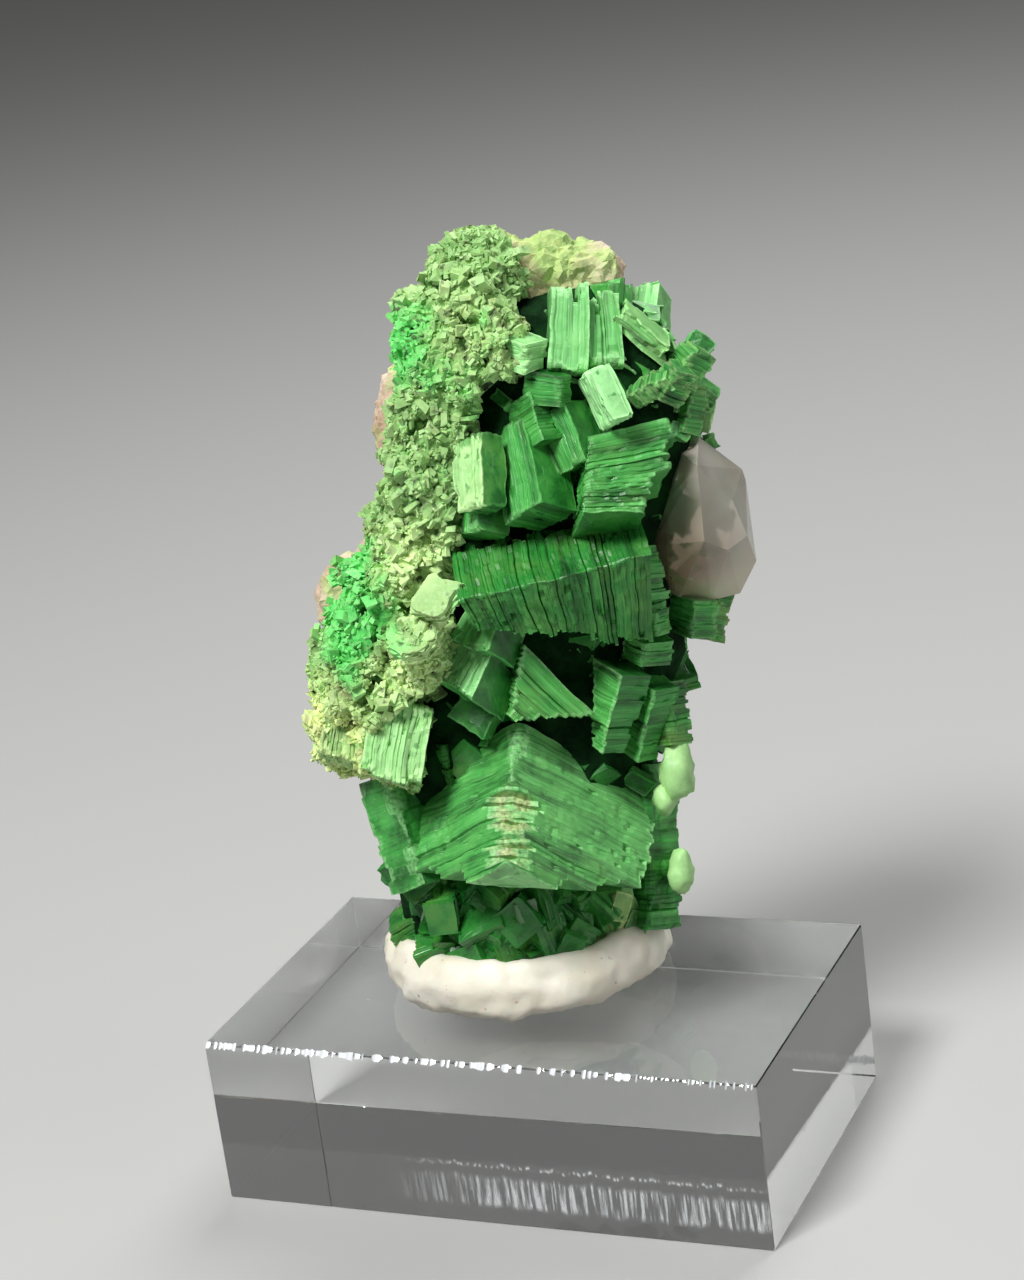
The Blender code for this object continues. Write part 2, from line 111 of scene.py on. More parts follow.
# A crystal is a stack of square plates. Its spot is the middle of the stack edge
# nearest the eye. Its size is the two sides that go back from that edge and the
# height of the stack. Low gives the share of the sides left at the low end, and
# slide is how far the top is shifted along the first side. All lengths are in mm.
SQUARE = ((0.0, 0.0), (1.0, 0.0), (1.0, 1.0), (0.0, 1.0))
CLIPPED = ((0.3, 0), (0.7, 0), (1, 0.3), (1, 0.7), (0.7, 1), (0.3, 1), (0, 0.7), (0, 0.3))
Crystal = namedtuple("Crystal", "name spot size angles low slide outline", defaults=((1, 1), 0, SQUARE))

CRYSTALS = (
    Crystal("lower_book", (-1.14, 10.1, 7.2), (10.7, 9.0, 8.6), (40, 33, -4), (0.94, 0.93)),
    Crystal("upper_right_book", (2.95, 27.7, 6.6), (5.1, 4.4, 4.6), (12, 18, 12), (0.82, 0.9), 1.2),
    Crystal("middle_book", (1.3, 21.9, 7.6), (7.0, 4.4, 9.0), (44, -2, -75), (0.35, 0.95), 0.3),
    Crystal("centre_prism", (0.0, 28.6, 5.4), (2.8, 2.8, 5.1), (47, 18, 10), (1.0, 0.9)),
    Crystal("upper_centre", (0.3, 31.0, 4.8), (2.0, 2.4, 2.6), (40, 10, 16)),
    Crystal("upright_slab", (-2.9, 28.0, 6.0), (2.0, 1.9, 4.3), (46, 8, 4), (0.7, 0.7), 0.5),
    Crystal("slab_foot", (-3.1, 25.9, 5.0), (2.2, 2.2, 2.4), (35, 15, -4), (0.65, 0.6)),
    Crystal("mint_slab", (4.1, 30.3, 5.3), (1.4, 3.1, 2.8), (76, -79, -52)),
    Crystal("slab_side", (2.3, 30.2, 5.2), (2.2, 2.2, 3.4), (52, 8, 22)),
    Crystal("dark_top_crystal", (1.6, 32.2, 5.0), (1.4, 2.4, 1.6), (60, -15, -3)),
    Crystal("column_left", (2.1, 33.3, 4.2), (5.0, 2.6, 2.0), (10, -6, 88)),
    Crystal("column_right", (4.1, 33.8, 3.4), (4.3, 2.6, 1.9), (14, -4, 92)),
    Crystal("ledge_plate", (4.6, 36.6, 2.0), (3.8, 2.4, 1.1), (12, -20, -42)),
    Crystal("pale_ledge", (-0.3, 34.0, 4.8), (2.2, 2.0, 1.6), (50, -22, -3)),
    Crystal("fan_top", (-1.9, 19.0, 4.0), (1.8, 2.2, 2.4), (55, -30, -54)),
    Crystal("fan_upper", (-3.7, 18.2, 5.2), (2.9, 3.0, 2.5), (8, 40, 68)),
    Crystal("fan_left", (-4.5, 15.8, 5.2), (2.9, 3.2, 2.7), (8, 42, 64)),
    Crystal("fan_lower", (-1.2, 15.0, 3.3), (2.6, 2.4, 1.8), (67, -72, 82)),
    Crystal("fan_foot", (-2.4, 14.0, 2.6), (2.0, 2.4, 2.6), (30, 8, -8)),
    Crystal("wedge", (-0.8, 16.3, 5.0), (5.5, 2.8, 3.2), (14, 6, -44), (0.1, 0.8), -2.3),
    Crystal("wedge_foot", (-0.7, 15.2, 2.9), (2.8, 2.2, 2.3), (30, -6, -14)),
    Crystal("block_b", (4.4, 14.3, 4.8), (2.4, 2.6, 4.3), (42, -18, -14), (0.7, 0.35)),
    Crystal("block_c", (6.3, 13.6, 3.6), (2.2, 2.4, 4.2), (46, -22, -14), (0.8, 0.8)),
    Crystal("right_plate", (6.2, 17.6, 4.2), (2.3, 1.8, 1.4), (40, -20, -8)),
    Crystal("right_dark", (6.8, 19.6, 4.4), (1.4, 1.5, 1.7), (46, -10, 4)),
    Crystal("gap_crystal", (6.3, 22.2, 4.6), (1.5, 2.2, 2.8), (38, 6, 14)),
    Crystal("cavity_floor", (-4.6, 11.4, 2.6), (2.6, 2.6, 2.4), (44, -12, 10)),
    Crystal("teal_column", (-7.0, 8.0, 3.6), (2.6, 2.8, 6.2), (46, 6, 17)),
    Crystal("right_column", (6.3, 7.0, 2.6), (2.8, 3.4, 9.0), (40, 2, 2)),
    Crystal("under_quartz", (9.0, 19.6, 3.0), (2.0, 2.2, 2.0), (40, -10, -10)),
    Crystal("olive_block", (10.2, 20.0, 1.4), (1.5, 2.6, 2.9), (40, 0, -12)),
    Crystal("olive_side", (7.6, 14.4, 2.6), (1.8, 2.2, 3.4), (42, 0, 6)),
    Crystal("rough_a", (7.6, 32.6, 4.0), (1.7, 1.8, 1.9), (38, -20, -30)),
    Crystal("rough_b", (8.6, 33.8, 2.8), (1.7, 1.8, 1.9), (36, -10, -35)),
    Crystal("rough_c", (6.2, 32.6, 3.6), (1.2, 1.6, 2.4), (30, -30, -60)),
    Crystal("rough_d", (8.6, 31.4, 2.4), (1.7, 2.0, 2.6), (40, 0, -10)),
)
CRUST_CRYSTALS = (
    Crystal("corner_plate", (-3.5, 21.4, 6.6), (2.4, 2.6, 0.7), (122, -48, 30)),
    Crystal("round_plate", (-4.5, 19.0, 6.4), (2.9, 2.9, 0.9), (118, -46, 26), outline=CLIPPED),
    Crystal("torn_plates", (-7.9, 10.7, 5.6), (4.8, 3.0, 3.2), (8, 0, 80), (1.0, 1.0), 0.3),
    Crystal("torn_left", (-10.7, 11.9, 3.6), (3.0, 3.0, 2.4), (14, 4, 84), (1.0, 1.0), 0.4),
)

# A crystal's look. Lengths are in mm: the plates' thickness, how far groups of plates
# jut at the near faces and at the far ends, how ragged the outlines are and how worn
# their corners. Frost and olive are the shares of those tints; frost also carries painted
# light, and less than no frost is darker, a painted shade. Faces is painted light and shade:
# the frost that the left side, the right side, the top and the underside have besides,
# lighter or darker as the light falls on them. Grain is the side that the plates are
# stacked along, and fan the angle that they spread through. Broken is where the near edge
# is broken off: from and to what share of the height, and how deep. Blunt is how deep it is
# worn off at the top. Trim is how much wider each plate is left behind that edge than the
# one below it. Cracks is the share of the grooves that gape. Satin is how smooth the sides
# are.
Look = namedtuple(
    "Look", "plate step ends ragged worn frost olive faces grain fan broken blunt trim cracks satin"
)

# Plain is the look that all the others start from. Those after it are shared by several.
PLAIN = Look(
    plate=0.22, step=0.12, ends=0.25, ragged=0.03, worn=0.12, frost=0.05, olive=0.2, faces=(0, 0, 0, 0),
    grain="height", fan=0, broken=None, blunt=0, trim=None, cracks=0.08, satin=0
)
FILL = PLAIN._replace(plate=0.34, step=0.2, ends=0.4, ragged=0.07, worn=0.28)
COLUMN = PLAIN._replace(plate=0.3, step=0.4, ends=1.2, worn=0.3)
FAN = PLAIN._replace(plate=0.24, step=0.16, ends=0.6, ragged=0.05, frost=0.1, fan=-20, cracks=0.3)
BLOCK = PLAIN._replace(plate=0.3, frost=0.0)
ROUGH = PLAIN._replace(frost=0.25, olive=0.7, worn=0.2, step=0.25)
FLAKY = PLAIN._replace(plate=0.16, frost=0.7, olive=1.0)
TORN = PLAIN._replace(step=0.3, ends=0.7, ragged=0.12, worn=0.3, cracks=0.3)
LOOKS = {
    "lower_book": PLAIN._replace(
        plate=0.33, step=0.3, ends=0.6, worn=0.1, frost=0.42, faces=(0.0, 0.08, 0.2, 0.4),
        broken=(0.02, 0.6, 1.8), blunt=0.6, trim=1.7, cracks=0.06, satin=0.2
    ),
    "upper_right_book": PLAIN._replace(
        plate=0.2, step=0.24, ends=0.9, ragged=0.07, worn=0.2, frost=0.0, fan=14,
        faces=(0.0, 0.1, 0.0, -0.4), cracks=0.2
    ),
    "middle_book": PLAIN._replace(
        plate=0.21, step=0.16, ends=0.8, ragged=0.05, frost=0.0, olive=0.3, fan=-18,
        faces=(-0.7, -0.2, 0.0, 0.0), cracks=0.25
    ),
    "centre_prism": PLAIN._replace(step=0.2, frost=0.0, olive=0.1, faces=(0.1, -0.2, 0, 0), grain="second"),
    "upper_centre": PLAIN._replace(frost=-0.1, faces=(0.2, -0.2, 0.3, 0)),
    "upright_slab": PLAIN._replace(
        step=0.25, worn=0.3, ragged=0.06, frost=0.35, olive=0.6, faces=(0.5, -0.5, 0.3, 0), grain="second"
    ),
    "slab_side": PLAIN._replace(frost=-0.1, faces=(0.2, 0.0, 0.4, 0), grain="second"),
    "slab_foot": PLAIN._replace(worn=0.3, frost=0.1, faces=(0.3, -0.4, 0, 0), grain="second"),
    "mint_slab": PLAIN._replace(worn=0.25, ends=0.4, frost=1.0, olive=0.2),
    "column_left": COLUMN._replace(frost=0.6, olive=0.25),
    "column_right": COLUMN._replace(frost=0.5, olive=0.35),
    "ledge_plate": PLAIN._replace(step=0.3, ends=0.8, worn=0.3, frost=0.6, olive=0.5, ragged=0.08),
    "pale_ledge": PLAIN._replace(ends=0.6, worn=0.3, frost=0.75, olive=0.4),
    "fan_top": PLAIN._replace(frost=-0.2, faces=(0.3, 0, 0.1, 0)),
    "fan_upper": FAN._replace(faces=(0, 0.4, 0, -0.3)),
    "fan_left": FAN._replace(faces=(0, 0.65, 0, -0.2)),
    "fan_foot": PLAIN._replace(frost=-0.2),
    "cavity_floor": PLAIN._replace(frost=-0.4),
    "wedge": PLAIN._replace(plate=0.24, frost=0.32, olive=0.35, faces=(0.1, 0.0, 0.6, -0.3), cracks=0.12),
    "wedge_foot": PLAIN._replace(frost=-0.3),
    "block_b": BLOCK._replace(faces=(0.4, -0.35, 0.3, 0)),
    "block_c": BLOCK._replace(faces=(0.2, -0.2, 0.2, 0)),
    "teal_column": PLAIN._replace(
        plate=0.6, step=0.1, worn=0.3, frost=0.3, olive=0.0, faces=(0, -0.3, 0, 0), cracks=0, satin=0.9
    ),
    "right_column": PLAIN._replace(plate=0.4, frost=-0.3, step=0.4, worn=0.3, ragged=0.06),
    "olive_block": PLAIN._replace(frost=0.1, olive=1.0, worn=0.3),
    "olive_side": PLAIN._replace(frost=-0.1, olive=0.8, worn=0.3),
    "rough_a": ROUGH,
    "rough_b": ROUGH,
    "rough_c": ROUGH._replace(frost=0.45, olive=0.6),
    "rough_d": ROUGH._replace(frost=0.1),
    "corner_plate": FLAKY._replace(worn=0.4, ragged=0.12),
    "round_plate": FLAKY._replace(worn=0.3, ragged=0.16),
    "torn_plates": TORN._replace(frost=0.85, olive=0.5),
    "torn_left": TORN._replace(frost=0.8, olive=0.9),
}

# A rounded lump: its spot, and its half sizes across, up and ahead, in mm. Its skin has so
# many points up and around.
Lump = namedtuple("Lump", "spot half")
LUMP_POINTS = (14, 22)
LUMPS = (
    Lump((8.1, 11.2, 2.4), (0.95, 1.7, 1.2)),
    Lump((7.4, 9.6, 2.6), (0.7, 0.9, 0.9)),
    Lump((8.3, 5.7, 2.6), (0.75, 1.2, 1.0)),
)

# A mass is a pile of rough oval outlines, from the bottom up: how far up and right
# its middle is seen, its half width, how far ahead it stands and its half depth.
Ring = namedtuple("Ring", "up right wide front deep")
CORE = (
    Ring(0.8, -0.4, 5.8, 0.4, 3.4),
    Ring(5.0, -0.6, 6.4, 0.4, 3.2),
    Ring(10.0, -0.6, 6.8, 0.2, 3.0),
    Ring(14.0, 0.4, 7.0, -0.2, 2.8),
    Ring(18.0, 0.9, 7.2, -0.2, 3.0),
    Ring(22.0, 1.4, 7.0, 0.2, 3.4),
    Ring(26.0, 1.6, 7.0, 0.4, 3.4),
    Ring(30.0, 2.0, 7.4, 0.2, 3.2),
    Ring(33.5, 2.4, 6.8, -0.2, 3.0),
    Ring(36.5, 1.8, 4.6, -0.8, 2.4),
    Ring(38.0, 1.0, 2.6, -1.2, 1.4),
)
REAR = (
    Ring(9.5, -1.2, 3.0, -4.0, 1.4),
    Ring(13.0, -1.4, 4.8, -4.4, 2.2),
    Ring(18.0, -0.6, 5.8, -4.6, 2.4),
    Ring(23.0, 0.4, 6.0, -4.6, 2.5),
    Ring(28.0, 1.4, 5.6, -4.6, 2.4),
    Ring(32.0, 1.8, 4.6, -4.4, 2.2),
    Ring(36.5, 1.0, 2.4, -4.0, 1.6),
)
FOOT_MASS = (
    Ring(0.8, -0.6, 4.8, 1.6, 3.2),
    Ring(2.4, -0.4, 5.4, 1.8, 3.6),
    Ring(4.4, -0.2, 5.6, 1.6, 3.6),
    Ring(5.4, -0.2, 5.4, 1.2, 3.2),
)

# Middle-sized crystals of the right flank and the back: their sides in mm, and for each
# place how many there are, how far out in the mass, and over what part of its turn.
SOWN_SIDES = (1.6, 2.8)
FLANK_CRYSTALS = 16
FLANK_DEPTH = 0.7
FLANK_WAY = (-70, 20)
REAR_CRYSTALS = 34
REAR_DEPTH = 0.35
REAR_WAY = (190, 350)

# Holes in the crust: how far right and up each is seen, and how far it reaches, in mm.
HOLES = ((-2.2, 32.3, 0.7), (-1.7, 32.6, 0.6), (-2.6, 31.1, 0.7), (-6.0, 14.8, 0.45), (-4.1, 22.9, 0.5))

# How many small crystals fill the gaps between the large ones, and how long they are in mm.
FRONT_FILL = 480
FRONT_SIDES = (0.8, 2.4)
REAR_FILL = 330
REAR_SIDES = (0.7, 1.6)
FOOT_FILL = 150
FOOT_SIDES = (1.4, 3.2)

# The crust's flakes: how many are tried, their sizes in mm, how much smaller or larger the
# three kinds are and the share of each, how thin they are, how much they lean, how far
# out they stand in mm, and how deep a pit may be where one grows.
FLAKES = 15500
FLAKE_SIZES = (0.2, 0.55)
FLAKE_KINDS = (0.6, 1.0, 1.7)
FLAKE_SHARES = (0.5, 0.38, 0.12)
FLAKE_THIN = (0.2, 0.6)
FLAKE_LEAN = 0.7
FLAKE_OUT = (-0.1, 0.12)
FLAKE_PIT = 0.45

# How far apart the points of an outline are, in mm, on large and on small crystals.
POINT_STEP = 0.34
SPARSE_STEP = 0.6

# The fewest and the most plates of a crystal, and the shares of a plate's thickness below
# its top between which its side is upright.
PLATES = (3, 60)
PLATE_FOOT, PLATE_HEAD = 0.8, 0.2

# The groove under a plate: its depth as a share of the plate's thickness, the limit to it
# in mm, and how many times as deep a gaping one and a shut one are.
GROOVE = 0.14
GROOVE_LIMIT = 0.03
GAPING = (3, 8)
SHUT = 0.8

# A crystal's end faces have a narrow border, in mm, and an inner outline at this share.
END_BORDER = 0.14
END_INNER = 0.6

# How often an outline is chipped, and how deep in mm.
CHIPPED = 0.02
CHIP_DEPTH = (0.05, 0.25)

# Shifts that keep the patterns of a crystal's sides, and of two crystals, apart.
SIDE_SHIFT = 7.3
SEED_SHIFT = 0.31

# A core inside the crystals: how many sides it has, and how uneven it is, across as a share
# and up in mm.
CORE_SIDES = 12
CORE_ROUGH = 0.10
CORE_LIFT = 0.5

# The block's edges are cut off this much, in mm. Its chipped edge has so many steps, and
# at each a new chip may begin, by this chance. Chips cover the first share of the edge at
# the left and the second at the right. Their depths and what is uneven besides are in mm.
BLOCK_EDGE = 0.06
BLOCK_STEPS = 300
BLOCK_NEW_CHIP = 0.7
BLOCK_CHIPPED = (0.72, 0.35)
BLOCK_CHIP_DEPTH = (0.10, 0.26)
BLOCK_UNEVEN = 0.03

# How far the crystals are bent out of true, by long and by short waves, in mm, and how
# softly they are kept inside the ends.
WARP = 0.06
WARP_FINE = 0.012
SOFT_EDGE = 0.5 * MM


def on_mass(mass, way, depth, rng, short=0.0):
    """A random spot at some depth in a mass, within the part of its turn given.

    Short is how many of the top outlines are left out.
    """
    place = rng.uniform(0, len(mass) - 1.001 - short)
    low, high = mass[int(place)], mass[int(place) + 1]
    part = place - int(place)
    ring = Ring(*(a + (b - a) * part for a, b in zip(low, high)))
    angle = math.radians(rng.uniform(*way))
    right = ring.right + ring.wide * depth * math.cos(angle)
    front = ring.front + ring.deep * depth * math.sin(angle)
    return right, ring.up, front


def sown(name, mass, count, way, depth, rng):
    """Crystals at random angles over the side of a mass."""
    found = []
    for index in range(count):
        spot = on_mass(mass, way, depth, rng)
        sides = [rng.uniform(*SOWN_SIDES) for _ in range(3)]
        angles = (rng.uniform(10, 80), rng.uniform(-50, 50), rng.uniform(-90, 90))
        found.append(Crystal(f"{name}_{index}", spot, sides, angles))
    return found


def waves(points, size, seed, octaves=3):
    """Smooth random numbers of about -1 to 1 at points in mm, as large as size."""
    rng = np.random.default_rng(seed)
    total = np.zeros(len(points))
    for octave in range(octaves):
        ways = rng.normal(size=(8, 3))
        ways *= rng.uniform(0.7, 1.5, (8, 1)) / np.linalg.norm(ways, axis=1, keepdims=True)
        turns = points @ (ways * (2 * math.pi * 2**octave / size)).T
        total += np.sin(turns + rng.uniform(0, 2 * math.pi, 8)).sum(axis=1) / (3 * 2**octave)
    return total


class Skin:
    """A mesh under way: its points, faces and what each point is like."""

    NAMES = ("rim", "tone", "along", "across", "frost", "olive", "edge", "cap", "broken")

    def __init__(self):
        self.points = []
        self.faces = []
        self.marks = {name: [] for name in self.NAMES}
        self.count = 0

    def add(self, points, faces, **marks):
        """Some points, with faces that number them from zero."""
        self.points.append(points)
        self.faces += [[corner + self.count for corner in face] for face in faces]
        for name in self.NAMES:
            self.marks[name].append(np.broadcast_to(marks.get(name, 0.0), len(points)))
        self.count += len(points)

    def add_pile(self, rings, flip, **marks):
        """One closed skin through a pile of outlines, an array of rings of points."""
        piled, around = rings.shape[:2]
        low = np.arange(around)
        after = (low + 1) % around
        faces = []
        for ring in range(piled - 1):
            base = ring * around
            quads = np.stack((low, after, after + around, low + around), axis=1) + base
            faces += quads.tolist()
        faces.append(low[::-1].tolist())
        faces.append((low + (piled - 1) * around).tolist())
        if flip:
            faces = [face[::-1] for face in faces]
        flat = {name: np.ravel(np.broadcast_to(mark, (piled, around))) for name, mark in marks.items()}
        self.add(rings.reshape(-1, 3), faces, **flat)

    def finish(self, name, finish, slot, smooth=False, bent=True):
        """The object that the skin makes."""
        mesh = bpy.data.meshes.new(name)
        points = np.concatenate(self.points)
        points = kept_inside(warped(points)) if bent else points
        mesh.from_pydata(points.tolist(), [], self.faces)
        for mark, values in self.marks.items():
            layer = mesh.attributes.new(mark, "FLOAT", "POINT")
            layer.data.foreach_set("value", np.concatenate(values).astype(np.float32))
        return placed(name, mesh, finish, smooth)


def kept_inside(points):
    """Points drawn in a little where they would pass the ends of the solid model."""
    low, high = (np.array(corner) for corner in CAD_BOX)
    middle, half = (low + high) / 2, (high - low) / 2 - 0.02 * MM
    off = points - middle
    over = np.abs(off) - (half - SOFT_EDGE)
    soft = half - SOFT_EDGE + SOFT_EDGE * np.tanh(np.maximum(over, 0) / SOFT_EDGE)
    return middle + np.where(over > 0, np.sign(off) * soft, off)


def warped(points):
    """Points shifted by gentle waves, so that no edge is quite straight."""
    shift = [waves(points / MM, size, seed) for size, seed in ((4.6, 61), (4.2, 62), (5.0, 63))]
    fine = [waves(points / MM, size, seed) for size, seed in ((1.1, 64), (0.9, 65), (1.0, 66))]
    return points + (np.stack(shift, axis=1) * WARP + np.stack(fine, axis=1) * WARP_FINE) * MM


def placed(name, mesh, finish, smooth=False):
    """An object of a mesh, with its finish, that stands where the model stands."""
    mesh.materials.clear()
    mesh.materials.append(finish)
    mesh.polygons.foreach_set("use_smooth", [smooth] * len(mesh.polygons))
    mesh.update()
    obj = bpy.data.objects.new(name, mesh)
    bpy.context.scene.collection.objects.link(obj)
    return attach(obj, "root")


def walk(rng, steps, width, spread, hold=0.6):
    """Several random walks side by side that keep near zero, one row a step."""
    rows = np.zeros((steps, width))
    for step in range(steps):
        last = rows[step - 1] if step else 0.0
        rows[step] = hold * last + rng.normal(0, spread, width)
    return rows


def jumps(rng, count, size, chance=0.16):
    """Random offsets up to a size that hold for some plates and then jump."""
    group = np.cumsum(rng.random(count) < chance)
    held = rng.random(group[-1] + 1) ** 2 * size
    return held[group] + np.abs(rng.normal(0, 0.12 * size, count))


def plate_corners(crystal, sizes, part, look, rng):
    """The corners of each plate, in mm along the two sides."""
    plates = len(part)
    if look.grain == "height":
        taper = [low + (1 - low) * part for low in crystal.low]
        slid = crystal.slide * (part - 0.5)
    else:
        taper, slid = (1.0, 1.0), 0.0
    near_a, near_b = (jumps(rng, plates, look.step) for _ in range(2))
    far_a, far_b = (jumps(rng, plates, look.ends, 0.4) for _ in range(2))
    wide_a = (sizes[0] * taper[0] - near_a - far_a)[:, None]
    wide_b = (sizes[1] * taper[1] - near_b - far_b)[:, None]
    start_a = (near_a + slid)[:, None]
    shares = np.array(crystal.outline)
    return np.stack((start_a + wide_a * shares[:, 0], near_b[:, None] + wide_b * shares[:, 1]), axis=2)


def corner_wear(corners, part, look, rng):
    """How far each plate's corners are worn off in mm, and where the near edge crumbled."""
    plates = len(part)
    worn = np.abs(walk(rng, plates, corners, look.worn, 0.75)) + 0.03
    crumbled = np.zeros(plates)
    if look.broken:
        low, high, deep = look.broken
        crumbled = np.clip(np.minimum(part - low, high - part) / 0.08, 0, 1)
        worn[:, 0] += crumbled * deep * np.clip(0.8 + walk(rng, plates, 1, 0.25, 0.7)[:, 0], 0.3, 1.3)
    worn[:, 0] += look.blunt * np.clip((part - 0.7) / 0.15, 0, 1)
    return worn, crumbled


def outlines(crystal, sizes, levels, look, rng, gap):
    """Each plate's outline, in mm along the two sides, and what each point is like."""
    plates = len(levels)
    part = levels / sizes[2]
    at = plate_corners(crystal, sizes, part, look, rng)
    corners = at.shape[1]
    after = np.roll(at, -1, axis=1)
    way = after - at
    long = np.linalg.norm(way, axis=2)
    way = way / np.maximum(long, 1e-6)[:, :, None]
    worn, crumbled = corner_wear(corners, part, look, rng)
    worn = np.minimum(worn, long * 0.4)
    start = at + way * worn[:, :, None]
    end = after - way * np.roll(worn, -1, axis=1)[:, :, None]
    turn = np.linspace(0, 1, 5 if gap < 0.5 else 3)[1:-1]
    arc = turn[:, None]
    rows, along, edge, broken, facing = [], [], [], [], []
    for side in range(corners):
        steps = int(np.clip(long[:, side].mean() / gap, 2, 40))
        share = np.linspace(0, 1, steps)
        row = start[:, side, None] * (1 - share[:, None]) + end[:, side, None] * share[:, None]
        inward = np.stack((-way[:, side, 1], way[:, side, 0]), axis=1)[:, None]
        rough = rng.normal(0, 1, (plates, steps))
        rough = (rough + np.roll(rough, 1, axis=1) + np.roll(rough, 1, axis=0)) / 1.7
        chip = rng.random((plates, steps)) < CHIPPED
        rough = np.abs(rough) * look.ragged + chip * rng.uniform(*CHIP_DEPTH, (plates, steps))
        rows.append(row + inward * rough[:, :, None])
        length = long[:, side].mean()
        along.append(side * SIDE_SHIFT + share * length)
        edge.append(np.minimum(share, 1 - share) * length)
        broken.append(np.zeros((plates, steps)))
        here, next_ = end[:, side, None], np.roll(start, -1, axis=1)[:, side, None]
        tip = after[:, side, None]
        bend = here * (1 - arc) ** 2 + tip * 2 * arc * (1 - arc) + next_ * arc**2
        chord = here * (1 - arc) + next_ * arc
        shatter = crumbled * (side == corners - 1)
        sag = chord + (chord - tip) * rng.uniform(-0.3, 0.1, (plates, len(turn), 1))
        rows.append(bend + (sag - bend) * shatter[:, None, None])
        along.append(side * SIDE_SHIFT + length + turn * 0.1)
        edge.append(np.zeros(len(turn)))
        facing.append(np.full(steps + len(turn), side))
        broken.append(np.broadcast_to(shatter[:, None], (plates, len(turn))))
    flat = np.concatenate(rows, axis=1)
    if look.trim:
        turned = math.radians(crystal.angles[0])
        back = flat @ np.array((math.sin(turned), math.cos(turned)))
        limit = levels * look.trim + 1.2 + rng.uniform(0, 0.9, plates)
        keep = np.minimum(1.0, limit[:, None] / np.maximum(back, 0.01))
        flat = flat * keep[:, :, None]
    like = [np.concatenate(values) for values in (along, edge, facing)]
    return flat, np.concatenate(broken, axis=1), like


def grooved(flat, thick, look, rng):
    """The plates' outlines drawn in to the bottom of the groove under each."""
    inward = flat.mean(axis=1, keepdims=True) - flat
    reach = np.maximum(np.linalg.norm(inward, axis=2, keepdims=True), 1e-6)
    deeper = np.where(rng.random(len(thick)) < look.cracks, rng.uniform(*GAPING, len(thick)), SHUT)
    groove = (np.minimum(GROOVE * thick, GROOVE_LIMIT) * deeper)[:, None, None]
    return flat + inward / reach * groove


def end_outlines(shape):
    """The outlines of an end face, from its edge inwards."""
    middle = shape.mean(axis=0)
    spread = np.linalg.norm(shape - middle, axis=1, keepdims=True)
    border = shape + (middle - shape) * END_BORDER / np.maximum(spread, 0.2)
    return np.array((shape, border, middle + (shape - middle) * END_INNER))


def add_book(skin, crystal, look, seed, gap=POINT_STEP):
    """A crystal as a book of plates, with a groove between each two."""
    rng = np.random.default_rng(seed)
    axes = axes_of(crystal.angles)
    first, up, second = axes.col[0], axes.col[1], -axes.col[2]
    side_a, side_b, height = crystal.size
    corner = seen(crystal.spot) - up * (height / 2 * MM)
    if look.grain == "height":
        ways, sizes = (first, second, up), (side_a, side_b, height)
    else:
        ways, sizes = (first, up, second), (side_a, height, side_b)
    ways = np.array([list(way) for way in ways])
    plates = int(np.clip(round(sizes[2] / look.plate), *PLATES))
    thick = rng.uniform(0.5, 1.5, plates)
    thick *= sizes[2] / thick.sum()
    top = np.cumsum(thick)
    flat, broken, (along, edge, facing) = outlines(crystal, sizes, top - thick / 2, look, rng, gap)
    around = flat.shape[1]
    shapes = np.stack((grooved(flat, thick, look, rng), flat, flat), axis=1).reshape(-1, around, 2)
    levels = np.stack((top - thick, top - PLATE_FOOT * thick, top - PLATE_HEAD * thick), axis=1).ravel()
    rims = np.tile((0.0, 1.0, 1.0), plates)
    tones = np.repeat(np.clip(0.5 + walk(rng, plates, 1, 0.25, 0.6)[:, 0], 0, 1), 3)
    broken = np.repeat(broken, 3, axis=0)
    edges = np.minimum(edge[None, :], np.minimum(levels, sizes[2] - levels)[:, None])
    shapes = np.concatenate((end_outlines(flat[0])[::-1], shapes[1:], end_outlines(flat[-1])))
    levels = np.concatenate((np.zeros(3), levels[1:], np.full(3, sizes[2])))
    shut = np.zeros((3, around))
    deep = shut + np.array((1.0, END_BORDER, 0.0))[:, None]
    edges = np.concatenate((deep, edges[1:], deep[::-1]))
    flat_top = shut + np.array((1.0, 1.0, 0.0))[:, None]
    body = np.zeros((len(rims) - 1, around))
    cap = np.maximum(np.concatenate((flat_top, body, flat_top[::-1])), look.satin)
    rims = np.concatenate((np.ones(3), rims[1:], np.ones(3)))[:, None]
    tones = np.concatenate((np.full(3, tones[0]), tones[1:], np.full(3, tones[-1])))[:, None]
    broken = np.concatenate((shut, broken[1:], shut))
    rings = np.concatenate((shapes, np.broadcast_to(levels[:, None, None], (*shapes.shape[:2], 1))), axis=2)
    across = rings[:, :, 2] + SEED_SHIFT * seed
    if look.fan:
        turn = np.radians(look.fan) * (rings[:, :, 2] / sizes[2] - 0.5)
        rings[:, :, 2] += (rings[:, :, 0] - 0.45 * sizes[0]) * np.sin(turn)
    world = np.array(corner) + rings @ ways * MM
    # Painted light and shade: each side and end of the crystal is made lighter or darker through its frost
    # mark, as the light falls on it.
    left, right, upper, under = look.faces
    sides = right * (facing == 0) + left * (facing == len(crystal.outline) - 1)
    ends = np.where(rings[:, :, 2] * 2 > sizes[2], upper, under)
    marks = {"rim": rims, "tone": tones, "along": along[None, :] + seed, "across": across}
    marks.update({"edge": edges, "cap": cap, "broken": broken, "olive": look.olive})
    frost = look.frost + sides + (ends - sides) * (cap == 1)
    skin.add_pile(world, np.linalg.det(ways) < 0, frost=frost, **marks)


